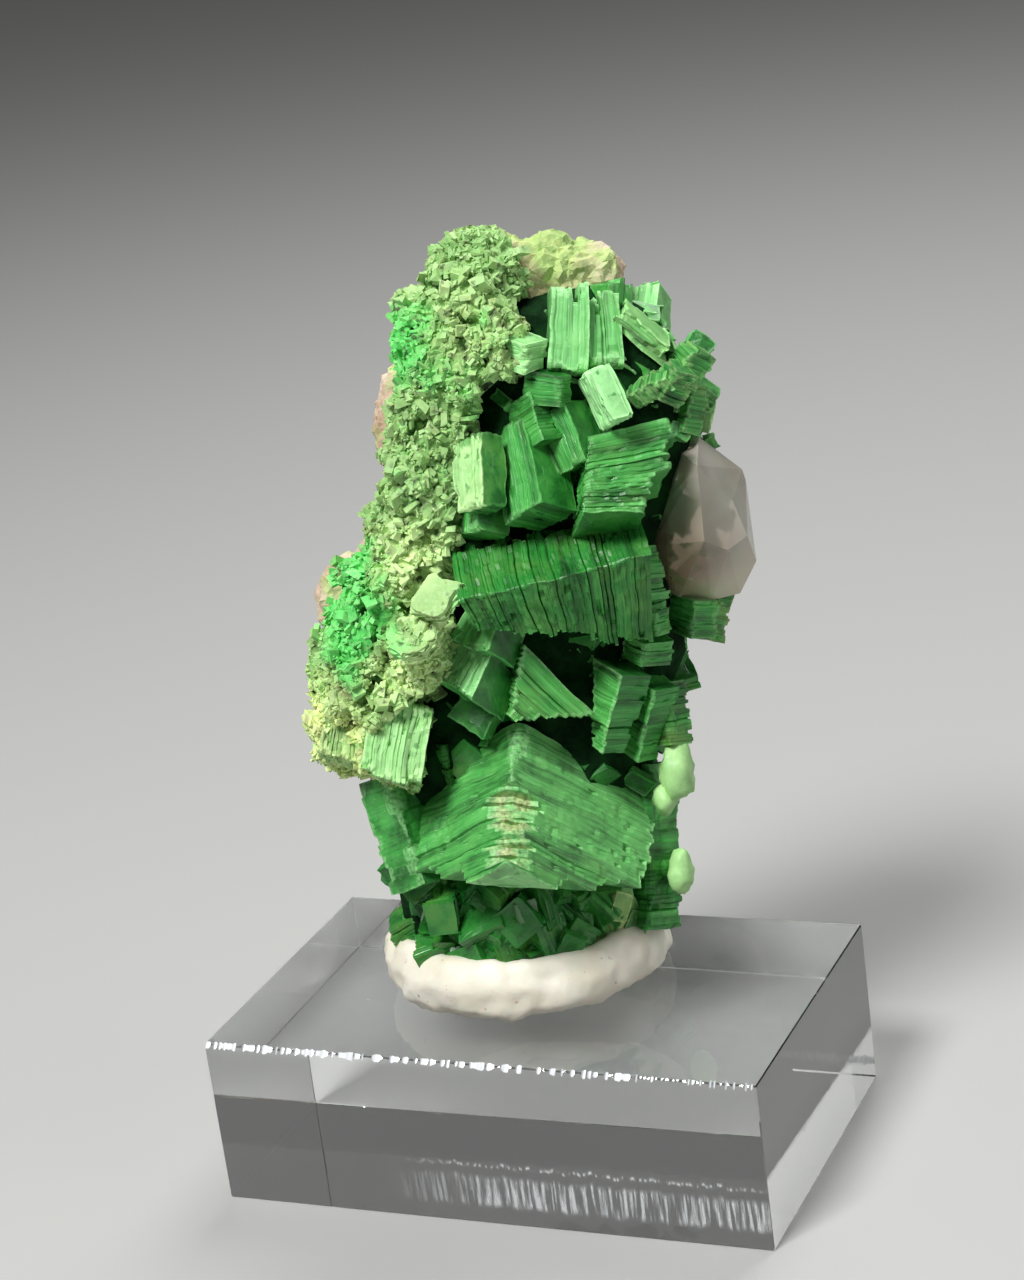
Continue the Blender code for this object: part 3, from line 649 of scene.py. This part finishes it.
def filler(mass, way, sides, rng, short=1.0):
    """A small crystal that stands out of a mass at a random angle, below its short top."""
    spot = on_mass(mass, way, rng.uniform(0.9, 1.02), rng, short)
    side = rng.uniform(*sides)
    size = (side, side * rng.uniform(0.6, 1.1), side * rng.uniform(0.3, 0.9))
    angles = (rng.uniform(0, 90), rng.uniform(-70, 70), rng.uniform(-180, 180))
    return Crystal("filler", spot, size, angles)


def fill_look(rng, up):
    """The look of a small crystal: dark near the foot and pale near the top."""
    pale = min(1.0, max(-0.5, rng.gauss(-0.35 + 0.85 * max(0.0, up - 18) / 18, 0.25)))
    return FILL._replace(frost=pale, olive=min(1.0, max(0.0, rng.gauss(0.3, 0.25))))


def changed(source, kind, **settings):
    """A copy of a mesh, changed by one modifier."""
    obj = bpy.data.objects.new("copy", source.copy())
    bpy.context.scene.collection.objects.link(obj)
    tool = obj.modifiers.new("change", kind)
    for key, value in settings.items():
        setattr(tool, key, value)
    graph = bpy.context.evaluated_depsgraph_get()
    mesh = bpy.data.meshes.new_from_object(obj.evaluated_get(graph))
    bpy.data.objects.remove(obj)
    return mesh


def even(node, face):
    """The mesh of a solid with even faces of about so many mm."""
    return changed(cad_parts[node].data, "REMESH", mode="VOXEL", voxel_size=face * MM)


def sighted(points):
    """How many mm right of and above the foot points are seen."""
    local = (points - np.array(FOOT)) @ np.array(SIGHT) / MM
    eye = np.array(EYE) / MM
    share = eye[2] / (eye[2] - local[:, 2:])
    return eye[:2] + (local[:, :2] - eye[:2]) * share


def hollow(points):
    """1 in the pits and holes of the crust and 0 outside them."""
    pits = np.minimum(waves(points / MM, 1.6, 71, 2), waves(points / MM, 2.1, 72, 2)) / 0.25
    spots = sighted(points)
    for right, up, reach in HOLES:
        away = np.hypot(spots[:, 0] - right, spots[:, 1] - up)
        pits = np.maximum(pits, 2.5 * (1.2 - away / reach))
    return np.clip(pits, 0, 1)


def roughened(mesh, layers, pits=0.0):
    """Move a mesh's points in and out by waves of a size and a depth in mm."""
    count = len(mesh.vertices)
    points = np.empty(count * 3)
    normals = np.empty(count * 3)
    mesh.vertices.foreach_get("co", points)
    mesh.vertices.foreach_get("normal", normals)
    points, normals = points.reshape(-1, 3), normals.reshape(-1, 3)
    move = np.zeros(count)
    for seed, (size, depth) in enumerate(layers):
        move += depth * waves(points / MM, size, seed + 40)
    move -= pits * hollow(points)
    points = kept_inside(points + normals * (move[:, None] * MM))
    mesh.vertices.foreach_set("co", points.ravel())
    mesh.update()
    return mesh


def surface_spots(mesh, count, rng):
    """Random spots spread evenly over a mesh, with the way that each faces."""
    mesh.calc_loop_triangles()
    corners = np.empty(len(mesh.loop_triangles) * 3, int)
    mesh.loop_triangles.foreach_get("vertices", corners)
    points = np.empty(len(mesh.vertices) * 3)
    mesh.vertices.foreach_get("co", points)
    corners = points.reshape(-1, 3)[corners.reshape(-1, 3)]
    across = np.cross(corners[:, 1] - corners[:, 0], corners[:, 2] - corners[:, 0])
    area = np.linalg.norm(across, axis=1)
    chosen = rng.choice(len(area), count, p=area / area.sum())
    share = np.sort(rng.random((count, 2)), axis=1)
    weights = np.stack((share[:, 0], share[:, 1] - share[:, 0], 1 - share[:, 1]), axis=1)
    spots = (corners[chosen] * weights[:, :, None]).sum(axis=1)
    return spots, across[chosen] / area[chosen][:, None]


BOX_FACES = ((0, 1, 3, 2), (4, 6, 7, 5), (0, 4, 5, 1), (2, 3, 7, 6), (0, 2, 6, 4), (1, 5, 7, 3))


def add_flakes(skin, mesh, seed):
    """Thin square crystals at all angles over a mesh."""
    rng = np.random.default_rng(seed)
    spots, faces = surface_spots(mesh, FLAKES, rng)
    clear = hollow(spots) < FLAKE_PIT
    spots, faces = spots[clear], faces[clear]
    count = len(spots)
    tilt = rng.normal(0, FLAKE_LEAN, (count, 3)) + faces
    tilt /= np.linalg.norm(tilt, axis=1, keepdims=True)
    side = np.cross(tilt, rng.normal(size=(count, 3)))
    side /= np.linalg.norm(side, axis=1, keepdims=True)
    third = np.cross(side, tilt)
    size = rng.uniform(*FLAKE_SIZES, count) * rng.choice(FLAKE_KINDS, count, p=FLAKE_SHARES)
    signs = np.array([(x, y, z) for x in (-1, 1) for y in (-1, 1) for z in (-1, 1)])
    half = (size, size * rng.uniform(0.5, 1, count), size * rng.uniform(*FLAKE_THIN, count))
    half = np.stack(half, axis=1) / 2
    flip = rng.random(count) < 0.5
    half = np.where(flip[:, None], half[:, [2, 1, 0]], half)
    corners = signs[None] * half[:, None] * rng.uniform(0.6, 1.15, (count, 8, 1))
    frames = np.stack((side, third, tilt), axis=1)
    out = faces * rng.uniform(*FLAKE_OUT, (count, 1))
    world = spots[:, None] + (np.einsum("nck,nkd->ncd", corners, frames) + out[:, None]) * MM
    shape = np.concatenate([np.array(BOX_FACES) + 8 * flake for flake in range(count)])
    rim = np.tile([0.2, 1.0], count * 4)
    tone = np.repeat(rng.random(count), 8)
    skin.add(world.reshape(-1, 3), shape.tolist(), rim=rim, tone=tone)


def add_core(skin, mass, seed):
    """The closed skin of a mass, made rough by moving its corners about."""
    rng = random.Random(seed)
    rings = []
    for ring in mass:
        points = []
        for side in range(CORE_SIDES):
            angle = 2 * math.pi * side / CORE_SIDES
            share = 1 + rng.uniform(-CORE_ROUGH, CORE_ROUGH)
            right = ring.right + ring.wide * share * math.cos(angle)
            front = ring.front + ring.deep * share * math.sin(angle)
            up = ring.up + rng.uniform(-CORE_LIFT, CORE_LIFT)
            points.append(seen((right, up, front)))
        rings.append(points)
    skin.add_pile(np.array(rings), True)


def add_lump(skin, lump, seed, **marks):
    """A rounded lump, a little uneven."""
    heights = np.linspace(-0.98, 0.98, LUMP_POINTS[0])
    angles = np.linspace(0, 2 * math.pi, LUMP_POINTS[1], endpoint=False)
    level, angle = np.meshgrid(heights, angles, indexing="ij")
    wide = np.sqrt(1 - level**2)
    ball = np.stack((wide * np.cos(angle), level, wide * np.sin(angle)), axis=2) * np.array(lump.half)
    flat = ball.reshape(-1, 3)
    uneven = 1 + 0.10 * waves(flat, 1.8, seed) + 0.03 * waves(flat, 0.5, seed + 1)
    world = np.array(seen(lump.spot)) + (flat * uneven[:, None]) @ np.array(SIGHT.transposed()) * MM
    skin.add_pile(world.reshape(ball.shape), True, **marks)


class Maths:
    """A socket that can be reckoned with as a number."""

    def __init__(self, tree, socket):
        self.tree = tree
        self.socket = socket

    def step(self, operation, *values):
        node = self.tree.nodes.new("ShaderNodeMath")
        node.operation = operation
        for slot, value in zip(node.inputs, values):
            if isinstance(value, Maths):
                self.tree.links.new(value.socket, slot)
            else:
                slot.default_value = value
        return Maths(self.tree, node.outputs[0])

    def __add__(self, other):
        return self.step("ADD", self, other)

    def __radd__(self, other):
        return self.step("ADD", other, self)

    def __sub__(self, other):
        return self.step("SUBTRACT", self, other)

    def __rsub__(self, other):
        return self.step("SUBTRACT", other, self)

    def __mul__(self, other):
        return self.step("MULTIPLY", self, other)

    def __rmul__(self, other):
        return self.step("MULTIPLY", other, self)

    def held(self):
        """The number, kept between 0 and 1."""
        node = self.tree.nodes.new("ShaderNodeClamp")
        self.tree.links.new(self.socket, node.inputs[0])
        return Maths(self.tree, node.outputs[0])

    def band(self, low, high):
        """0 below low and 1 above high, straight between."""
        return ((self - low) * (1 / (high - low))).held()


class Finish:
    """A material under way, round its Principled shader."""

    def __init__(self, name, **plain):
        self.material = bpy.data.materials.new(name)
        self.material.use_nodes = True
        self.tree = self.material.node_tree
        self.shader = self.tree.nodes["Principled BSDF"]
        for key, value in plain.items():
            self.shader.inputs[key.replace("_", " ").title().replace("Ior", "IOR")].default_value = value

    def node(self, kind, settings=None, **inputs):
        """A node of a type, its settings set first and then its sockets."""
        node = self.tree.nodes.new("ShaderNode" + kind)
        for key, value in (settings or {}).items():
            setattr(node, key, value)
        for key, value in inputs.items():
            self.put(node.inputs[int(key[1:]) if key[0] == "_" else key], value)
        return node

    def put(self, socket, value):
        """Link or set a socket."""
        if isinstance(value, Maths):
            self.tree.links.new(value.socket, socket)
        elif isinstance(value, bpy.types.NodeSocket):
            self.tree.links.new(value, socket)
        else:
            socket.default_value = value

    def mark(self, name):
        """A value that the skin holds for each point."""
        return Maths(self.tree, self.node("Attribute", {"attribute_name": name}).outputs["Fac"])

    def place(self):
        """The place on the object, in metres."""
        return self.node("TexCoord").outputs["Object"]

    def near(self, spot, reach):
        """1 at a spot that is seen so, fading to 0 so many mm away."""
        inputs = {"_0": self.place(), "_1": seen(spot)}
        away = Maths(self.tree, self.node("VectorMath", {"operation": "DISTANCE"}, **inputs).outputs["Value"])
        return (1.3 - away * (1.3 / (reach * MM))).held()

    def noise(self, size, detail=3.0, vector=None):
        """Noise of about 0 to 1, its grains of a size in mm."""
        inputs = {"Scale": 1 / (size * MM), "Detail": detail, "Vector": vector or self.place()}
        return Maths(self.tree, self.node("TexNoise", None, **inputs).outputs[0])

    def vector(self, x, y, z):
        """A vector of three values."""
        return self.node("CombineXYZ", None, X=x, Y=y, Z=z).outputs[0]

    def mix(self, mask, low, high):
        """The colour low where the mask is 0, and high where it is 1."""
        low, high = (tone if isinstance(tone, bpy.types.NodeSocket) else (*tone, 1.0) for tone in (low, high))
        node = self.node("Mix", {"data_type": "RGBA"}, Factor=mask, _6=low, _7=high)
        return node.outputs[2]

    def bump(self, height, depth, strength=1.0):
        """The normal of a height of 0 to 1, so many mm deep."""
        node = self.node("Bump", None, Strength=strength, Distance=depth * MM, Height=height)
        self.put(self.shader.inputs["Normal"], node.outputs[0])

    def set(self, **inputs):
        """Feed the shader's own sockets."""
        for key, value in inputs.items():
            self.put(self.shader.inputs[key.replace("_", " ").title()], value)
        return self.material


DEEP_GREEN = (0.003, 0.030, 0.005)
BOOK_GREEN = (0.020, 0.205, 0.026)
LIGHT_GREEN = (0.090, 0.470, 0.090)
MINT = (0.420, 0.850, 0.360)
OLIVE = (0.180, 0.280, 0.060)
CREAM = (0.600, 0.700, 0.300)
BROWN = (0.200, 0.190, 0.100)


def torbernite():
    """Emerald green, pale along the edges of the plates: partly frost, partly a painted highlight."""
    made = Finish("torbernite", subsurface_weight=0.10, subsurface_scale=0.5 * MM, coat_weight=0.04)
    made.shader.inputs["Subsurface Radius"].default_value = (0.25, 1.0, 0.35)
    rim, tone, cap = made.mark("rim"), made.mark("tone"), made.mark("cap")
    # The frost mark carries the painted light and shade of each side besides the frost.
    frost, olive, broken = made.mark("frost"), made.mark("olive"), made.mark("broken")
    along, across, edge = made.mark("along"), made.mark("across"), made.mark("edge")
    lines = made.noise(1000, 3.0, made.vector(along * 0.35, across * 13.0, tone))
    bands = made.noise(1000, 2.0, made.vector(along * 0.12, across * 2.2, 3.0))
    broad, fine = made.noise(1.7, 3.0), made.noise(0.22, 3.0)
    sides = lines.band(0.3, 0.75) * 0.35 + bands.band(0.35, 0.65) * 0.5 + tone * 0.35
    sides = sides + broad.band(0.3, 0.7) * 0.2 - 0.1
    faces = broad.band(0.3, 0.7) * 0.6 + fine * 0.35
    depth = sides + (faces - sides) * cap
    green = made.mix((depth * 1.8).held(), DEEP_GREEN, BOOK_GREEN)
    light = made.mix((depth + frost * 0.4 - 0.45).band(0.0, 0.7), green, LIGHT_GREEN)
    stained = made.mix((broad.band(0.45, 0.7) * olive * 0.7).held(), light, OLIVE)
    # Partly frost and partly a painted highlight: pale corners and rims of the plates.
    corners = (1 - edge.band(0.02, 0.16)) * fine.band(0.3, 0.6) * (0.12 + frost * 0.6)
    rims = rim * lines.band(0.5, 0.75) * frost * 0.35
    frosted = frost.band(0.4, 1.05) * (0.45 + depth * 0.7)
    pale = made.mix(olive.band(0.3, 1.0), MINT, CREAM)
    specks = made.noise(0.12, 1.0).band(0.72, 0.78) * frost.band(-0.3, 0.4) * 0.5
    colour = made.mix((corners + rims + frosted + specks).held(), stained, pale)
    crumbs = made.mix(fine.band(0.35, 0.65), BROWN, CREAM)
    colour = made.mix((broken * made.noise(0.9, 4.0).band(0.36, 0.55)).held() * 0.8, colour, crumbs)
    pits = made.noise(0.5, 1.0).band(0.66, 0.70) * frost.band(0.6, 0.9) * (1 - edge.band(1.5, 3.0))
    dotted = made.mix(pits * 0.7, colour, BOOK_GREEN)
    made.bump(lines * (1 - cap) * 0.6 + fine * 0.4, 0.04, 0.6)
    return made.set(base_color=dotted, roughness=0.42 - cap * 0.15 + fine * 0.2 + frost * 0.15)


def painted_gap_shade():
    """Painted shade: a near-black green for the mass inside the gaps between the crystals, where shade falls.
    """
    made = Finish("painted_gap_shade", specular_ior_level=0.1)
    fine, broad = made.noise(0.3, 3.0), made.noise(1.2, 3.0)
    depth = (broad.band(0.4, 0.7) * 0.6 + fine * 0.2).held()
    colour = made.mix(depth, (0.001, 0.010, 0.002), (0.008, 0.060, 0.012))
    made.bump(fine * 0.5 + broad * 0.5, 0.25, 0.8)
    return made.set(base_color=colour, roughness=0.75 + fine * 0.2)


def crust():
    """Yellow-green to cream fine crystals, vivid green in patches, with painted shade: near-black in the pits
    and holes.
    """
    made = Finish("crust", subsurface_weight=0.12, subsurface_scale=0.4 * MM)
    rim, tone = made.mark("rim"), made.mark("tone")
    broad, patch, fine = made.noise(2.6, 3.0), made.noise(0.9, 3.0), made.noise(0.18, 3.0)
    vivid = made.near((-9.6, 19.6, 3.0), 5.2) * 1.2 + made.near((-7.0, 34.5, 2.0), 3.6)
    strip = made.near((-6.6, 23.0, 4.0), 3.0) + made.near((-5.4, 19.6, 5.0), 2.2)
    strip = strip + made.near((-7.2, 16.6, 5.0), 3.0)
    vivid = vivid + (broad - 0.5) * 2.2 + (tone - 0.5) * 0.3 - strip * 0.9
    green = made.mix((tone * 0.5 + patch * 0.6 - 0.1).held(), (0.050, 0.460, 0.070), (0.260, 0.950, 0.250))
    pale = made.mix((tone * 0.4 + patch * 0.7 - 0.1).held(), (0.190, 0.420, 0.110), (0.520, 0.730, 0.310))
    pale = made.mix(strip.held() * 0.7, pale, (0.640, 0.900, 0.400))
    yellow = made.near((-11.0, 13.0, 2.0), 4.4) * 1.3 + made.near((-3.2, 36.0, 4.0), 3.6) * 0.2 + strip * 0.4
    pale = made.mix((yellow * patch.band(0.25, 0.5)).held() * 0.85, pale, (0.900, 1.000, 0.420))
    colour = made.mix(vivid.band(0.15, 0.75), pale, green)
    # Painted shade: near-black in the pits and in the hollows of the deep mark, where shade falls.
    pits = made.noise(0.42, 2.0).band(0.57, 0.66) * patch.band(0.4, 0.6)
    shaded_pits = made.mix((pits * 0.75 + made.mark("deep")).held(), colour, (0.030, 0.040, 0.012))
    brown = made.mix(made.noise(1.4, 3.0).band(0.62, 0.72) * 0.55, shaded_pits, (0.220, 0.170, 0.080))
    frosted = made.mix((rim * fine.band(0.45, 0.7) * 0.35).held(), brown, (0.560, 0.760, 0.420))
    made.bump(fine, 0.04, 0.6)
    return made.set(base_color=frosted, roughness=0.5 + fine * 0.3)


def rock():
    """Pinkish white, granular host rock, stained yellow-green near the crystals."""
    made = Finish("rock", subsurface_weight=0.1, subsurface_scale=0.4 * MM)
    broad, grain, fine = made.noise(3.0, 3.0), made.noise(0.6, 3.0), made.noise(0.15, 3.0)
    base = made.mix(broad.band(0.35, 0.65), (0.46, 0.32, 0.22), (0.62, 0.50, 0.38))
    spotted = made.mix(grain.band(0.56, 0.66) * 0.6, base, (0.34, 0.24, 0.14))
    stain = made.near((1.0, 40.2, -3.0), 4.6) * 1.2 + made.noise(2.4, 3.0).band(0.5, 0.62) * 0.8
    stain = stain - made.near((4.4, 39.8, -3.0), 2.0) - made.near((-1.4, 39.4, -1.0), 1.6) * 0.8
    green = made.mix(grain.band(0.3, 0.7), (0.20, 0.42, 0.09), (0.50, 0.66, 0.22))
    colour = made.mix(stain.held() * 0.85, spotted, green)
    made.bump(grain * 0.6 + fine * 0.4, 0.12, 0.8)
    return made.set(base_color=colour, roughness=0.65 + fine * 0.3)


def quartz():
    """Smoky quartz: clear, grey brown, with veils."""
    made = Finish("quartz", transmission_weight=0.62, ior=1.544)
    veil, fine = made.noise(2.6, 5.0), made.noise(0.5, 3.0)
    brown, cream = made.near((7.6, 22.0, 3.0), 5.0), made.near((11.6, 20.6, 0.5), 4.6)
    colour = made.mix(veil.band(0.2, 0.8), (0.62, 0.54, 0.44), (0.88, 0.84, 0.77))
    colour = made.mix((brown * 1.2).held() * 0.85, colour, (0.38, 0.25, 0.15))
    colour = made.mix((cream * 1.4).held() * 0.9, colour, (0.90, 0.82, 0.60))
    made.bump(fine, 0.03, 0.3)
    absorb = made.node("VolumeAbsorption", None, Color=(0.68, 0.54, 0.36, 1.0), Density=45.0)
    made.tree.links.new(absorb.outputs[0], made.tree.nodes["Material Output"].inputs["Volume"])
    return made.set(base_color=colour, roughness=0.14 + veil.band(0.4, 0.8) * 0.16)


def putty():
    """Off-white putty, kneaded, with faint prints and specks."""
    made = Finish("putty", subsurface_weight=0.2, subsurface_scale=0.8 * MM)
    broad, fine = made.noise(3.0, 3.0), made.noise(0.35, 3.0)
    colour = made.mix(broad.band(0.3, 0.7), (0.74, 0.69, 0.55), (0.86, 0.83, 0.73))
    specked = made.mix(made.noise(0.5, 2.0).band(0.70, 0.75) * 0.6, colour, (0.35, 0.22, 0.16))
    made.bump(broad * 0.6 + fine * 0.4, 0.1, 0.5)
    return made.set(base_color=specked, roughness=0.45 + fine * 0.2)


def acrylic():
    """Clear acrylic, finely scratched, with saw marks low on its front."""
    made = Finish("acrylic", transmission_weight=1.0, ior=1.49)
    spot = made.node("SeparateXYZ", None, Vector=made.place())
    x, y, z = (Maths(made.tree, spot.outputs[axis]) * 1000 for axis in range(3))
    front = (-1 * y).band(9.50, 9.52)
    saw = made.noise(1000, 4.0, made.vector(x * 5.0, z * 0.35, y * 0.1)).band(0.45, 0.62)
    ends = made.noise(1000, 2.0, made.vector(x * 1.4, 0.0, 0.0)) * 0.9
    low_band = (z - ends).band(0.5, 0.8) * (1 - (z - ends).band(2.2, 2.5))
    high_line = (z - ends).band(2.9, 3.0) * (1 - (z - ends).band(3.05, 3.2))
    marks = front * (low_band + high_line).held() * saw * x.band(-6.0, 1.0)
    scratch = made.noise(0.9, 6.0)
    colour = made.mix(scratch.band(0.35, 0.65), (0.95, 0.97, 0.97), (0.99, 0.99, 0.99))
    made.bump(scratch, 0.01, 0.15)
    frosted = made.node("BsdfDiffuse", None, Color=(0.86, 0.88, 0.90, 1.0), Roughness=0.5)
    share = (made.mark("rim") * 0.8 + marks * 0.5).held()
    joined = made.node("MixShader", None, _0=share, _1=made.shader.outputs[0], _2=frosted.outputs[0])
    made.tree.links.new(joined.outputs[0], made.tree.nodes["Material Output"].inputs["Surface"])
    rough = 0.02 + scratch.band(0.6, 0.8) * 0.12 + marks * 0.3
    return made.set(base_color=colour, roughness=rough)


def floor_finish():
    """A plain pale floor."""
    made = Finish("pale_floor")
    return made.set(base_color=(0.42, 0.42, 0.41, 1.0), roughness=0.6)


def build_crystals(green, gap_shade_finish):
    """The books of the front, the small crystals between them, and the core, painted dark as shade."""
    slot = "torbernite_cluster"
    large, small, foot, core, lumps = (Skin() for _ in range(5))
    for seed, crystal in enumerate(CRYSTALS):
        add_book(large, crystal, LOOKS.get(crystal.name, PLAIN), seed + 1)
    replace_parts(large.finish("large_crystals", green, slot), slot)
    rng = random.Random(21)
    flank = sown("flank", CORE, FLANK_CRYSTALS, FLANK_WAY, FLANK_DEPTH, random.Random(8))
    for seed, crystal in enumerate(flank):
        add_book(small, crystal, fill_look(rng, crystal.spot[1]), 100 + seed, SPARSE_STEP)
    for seed in range(FRONT_FILL):
        crystal = filler(CORE, (-80, 200), FRONT_SIDES, rng)
        add_book(small, crystal, fill_look(rng, crystal.spot[1]), 200 + seed, SPARSE_STEP)
    small.finish("small_crystals", green, slot)
    for seed in range(FOOT_FILL):
        crystal = filler(FOOT_MASS, (-20, 200), FOOT_SIDES, rng, 0.0)
        # Painted shade: the foot's small crystals, under the lower book, are made dark, less so towards the
        # right.
        pale = min(1.0, max(-0.9, rng.gauss(-0.85 + 0.26 * max(0.0, crystal.spot[0]), 0.2)))
        look = FILL._replace(frost=pale, olive=rng.uniform(0, 0.6) + max(0.0, pale), satin=0.7)
        add_book(foot, crystal, look, 800 + seed, SPARSE_STEP)
    foot.finish("foot_crystals", green, slot)
    add_core(core, CORE, 1)
    core.finish("front_shade_core", gap_shade_finish, slot)
    for seed, lump in enumerate(LUMPS):
        add_lump(lumps, lump, 300 + 2 * seed, tone=0.6, frost=0.95, olive=0.6, edge=9.0, cap=1.0)
    lumps.finish("pale_lumps", green, slot, smooth=True)


def build_rear(green, gap_shade_finish):
    """The green crystals of the back, and the core behind them, painted dark as shade."""
    skin = Skin()
    rng = random.Random(31)
    rear = sown("rear", REAR, REAR_CRYSTALS, REAR_WAY, REAR_DEPTH, random.Random(9))
    for seed, crystal in enumerate(rear):
        add_book(skin, crystal, fill_look(rng, crystal.spot[1] + 6), 1000 + seed, SPARSE_STEP)
    for seed in range(REAR_FILL):
        crystal = filler(REAR, (180, 360), REAR_SIDES, rng)
        add_book(skin, crystal, fill_look(rng, crystal.spot[1] + 6), 1100 + seed, SPARSE_STEP)
    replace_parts(skin.finish("rear_crystals", green, "rear_torbernite"), "rear_torbernite")
    core = Skin()
    add_core(core, REAR, 4)
    core.finish("rear_shade_core", gap_shade_finish, "rear_torbernite")


def build_crust(pale, green):
    """The crust of the left flank: ground, flakes and larger plates."""
    ground = roughened(even("pale_crust", 0.25), ((2.0, 0.12), (0.7, 0.10)), 0.8)
    points = np.array([point.co for point in ground.vertices])
    # The hollows, kept as a mark that the crust's finish paints dark as shade.
    deep = ground.attributes.new("deep", "FLOAT", "POINT")
    deep.data.foreach_set("value", hollow(points).astype(np.float32))
    flakes, plates = Skin(), Skin()
    add_flakes(flakes, ground, 51)
    for seed, crystal in enumerate(CRUST_CRYSTALS):
        skin = flakes if crystal.name.endswith("plate") else plates
        add_book(skin, crystal, LOOKS[crystal.name], 1500 + seed)
    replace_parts(placed("crust_ground", ground, pale), "pale_crust")
    flakes.finish("crust_flakes", pale, "pale_crust")
    plates.finish("crust_plates", green, "pale_crust")


def build_rock(stone):
    """The granular host rock."""
    mesh = roughened(even("host_rock", 0.3), ((3.0, 0.16), (0.9, 0.12)))
    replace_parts(placed("granular_rock", mesh, stone), "host_rock")


def build_quartz(clear):
    """The quartz crystal, with flat faces and worn edges."""
    worn = {"width": 0.12 * MM, "segments": 2, "limit_method": "ANGLE", "angle_limit": math.radians(8)}
    mesh = changed(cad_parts["smoky_quartz"].data, "BEVEL", **worn)
    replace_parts(placed("quartz_crystal", mesh, clear), "smoky_quartz")


def build_putty(soft):
    """The putty, kneaded by hand."""
    mesh = roughened(even("mounting_putty", 0.3), ((6.0, 0.16), (1.6, 0.05)))
    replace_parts(placed("kneaded_putty", mesh, soft, smooth=True), "mounting_putty")


def build_block(clear):
    """The clear block, chipped along the top edge of its front."""
    low, high = (np.array(corner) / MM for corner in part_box("acrylic_base"))
    rng = np.random.default_rng(71)
    across = np.linspace(low[0] + BLOCK_EDGE, high[0] - BLOCK_EDGE, BLOCK_STEPS)
    held = np.cumsum(rng.random(BLOCK_STEPS) < BLOCK_NEW_CHIP)
    loss = rng.uniform(0, 1, held[-1] + 1)
    chipped = loss[held] < np.linspace(*BLOCK_CHIPPED, BLOCK_STEPS)
    chip = BLOCK_EDGE + chipped * rng.uniform(*BLOCK_CHIP_DEPTH, held[-1] + 1)[held]
    chip += rng.uniform(0, BLOCK_UNEVEN, BLOCK_STEPS)
    rings = [block_ring(x, low, high, deep, BLOCK_EDGE) for x, deep in zip(across, chip)]
    for place, out in ((0, -BLOCK_EDGE), (-1, BLOCK_EDGE)):
        end = block_ring(across[place] + out, low, high, chip[place] + BLOCK_EDGE, 2 * BLOCK_EDGE)
        end[:, 1:] = np.clip(end[:, 1:], low[1:] + BLOCK_EDGE, high[1:] - BLOCK_EDGE)
        rings.insert(0 if place == 0 else len(rings), end)
    rim = np.zeros((len(rings), 10))
    rim[1:-1, 3:5] = chipped[:, None]
    block = Skin()
    block.add_pile(np.array(rings) * MM, True, rim=rim)
    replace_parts(block.finish("clear_block", clear, "acrylic_base", bent=False), "acrylic_base")


def block_ring(x, low, high, chip, edge):
    """An outline across the block in mm, with its top front edge chipped off."""
    front, back, foot, top = low[1], high[1], low[2], high[2]
    outline = (
        (front + edge, foot), (front, foot + edge), (front, top - chip - 0.05), (front, top - chip),
        (front + chip, top), (front + chip + 0.05, top), (back - edge, top), (back, top - edge),
        (back, foot + edge), (back - edge, foot),
    )
    return np.array([(x, *corner) for corner in outline])


def build_floor():
    """A pale floor, wide enough to fill the view."""
    mesh = bpy.data.meshes.new("floor")
    reach = 3.0
    corners = [(x * reach, y * reach, -0.02 * MM) for x, y in ((-1, -1), (1, -1), (1, 1), (-1, 1))]
    mesh.from_pydata(corners, [], [(0, 1, 2, 3)])
    mesh.materials.append(floor_finish())
    floor = bpy.data.objects.new("floor", mesh)
    bpy.context.scene.collection.objects.link(floor)


def build_lights():
    """Soft light from above and both sides."""
    lights = (
        ("key", (-0.15, 0.19, 0.24), 0.10, 1.5),
        ("top", (0.05, 0.30, -0.04), 0.16, 0.6),
        ("fill", (0.26, 0.08, 0.14), 0.20, 0.2),
    )
    middle = seen((0, 18, 0))
    for name, way, size, power in lights:
        data = bpy.data.lights.new(name, "AREA")
        data.size = size
        data.energy = power
        lamp = bpy.data.objects.new(name, data)
        lamp.location = middle + SIGHT @ Vector(way)
        lamp.rotation_euler = (SIGHT @ Vector(way)).to_track_quat("Z", "Y").to_euler()
        bpy.context.scene.collection.objects.link(lamp)
    world = bpy.data.worlds.new("studio")
    world.use_nodes = True
    world.node_tree.nodes["Background"].inputs[0].default_value = (1.0, 1.0, 0.98, 1.0)
    world.node_tree.nodes["Background"].inputs[1].default_value = 0.12
    bpy.context.scene.world = world


def build_camera():
    """The camera, at the eye that the specimen is measured from."""
    data = bpy.data.cameras.new("camera")
    data.lens = LENS
    data.sensor_width = 36
    data.clip_start = 0.005
    camera = bpy.data.objects.new("camera", data)
    camera.matrix_world = Matrix.Translation(FOOT + SIGHT @ EYE) @ SIGHT.to_4x4()
    bpy.context.scene.collection.objects.link(camera)
    bpy.context.scene.camera = camera


def main():
    green = torbernite()
    gap_shade_finish = painted_gap_shade()
    build_crystals(green, gap_shade_finish)
    build_rear(green, gap_shade_finish)
    build_crust(crust(), green)
    build_rock(rock())
    build_quartz(quartz())
    build_putty(putty())
    build_block(acrylic())
    build_floor()
    build_lights()
    build_camera()
    bpy.context.scene.view_settings.view_transform = "Standard"
    bpy.context.view_layer.update()


main()
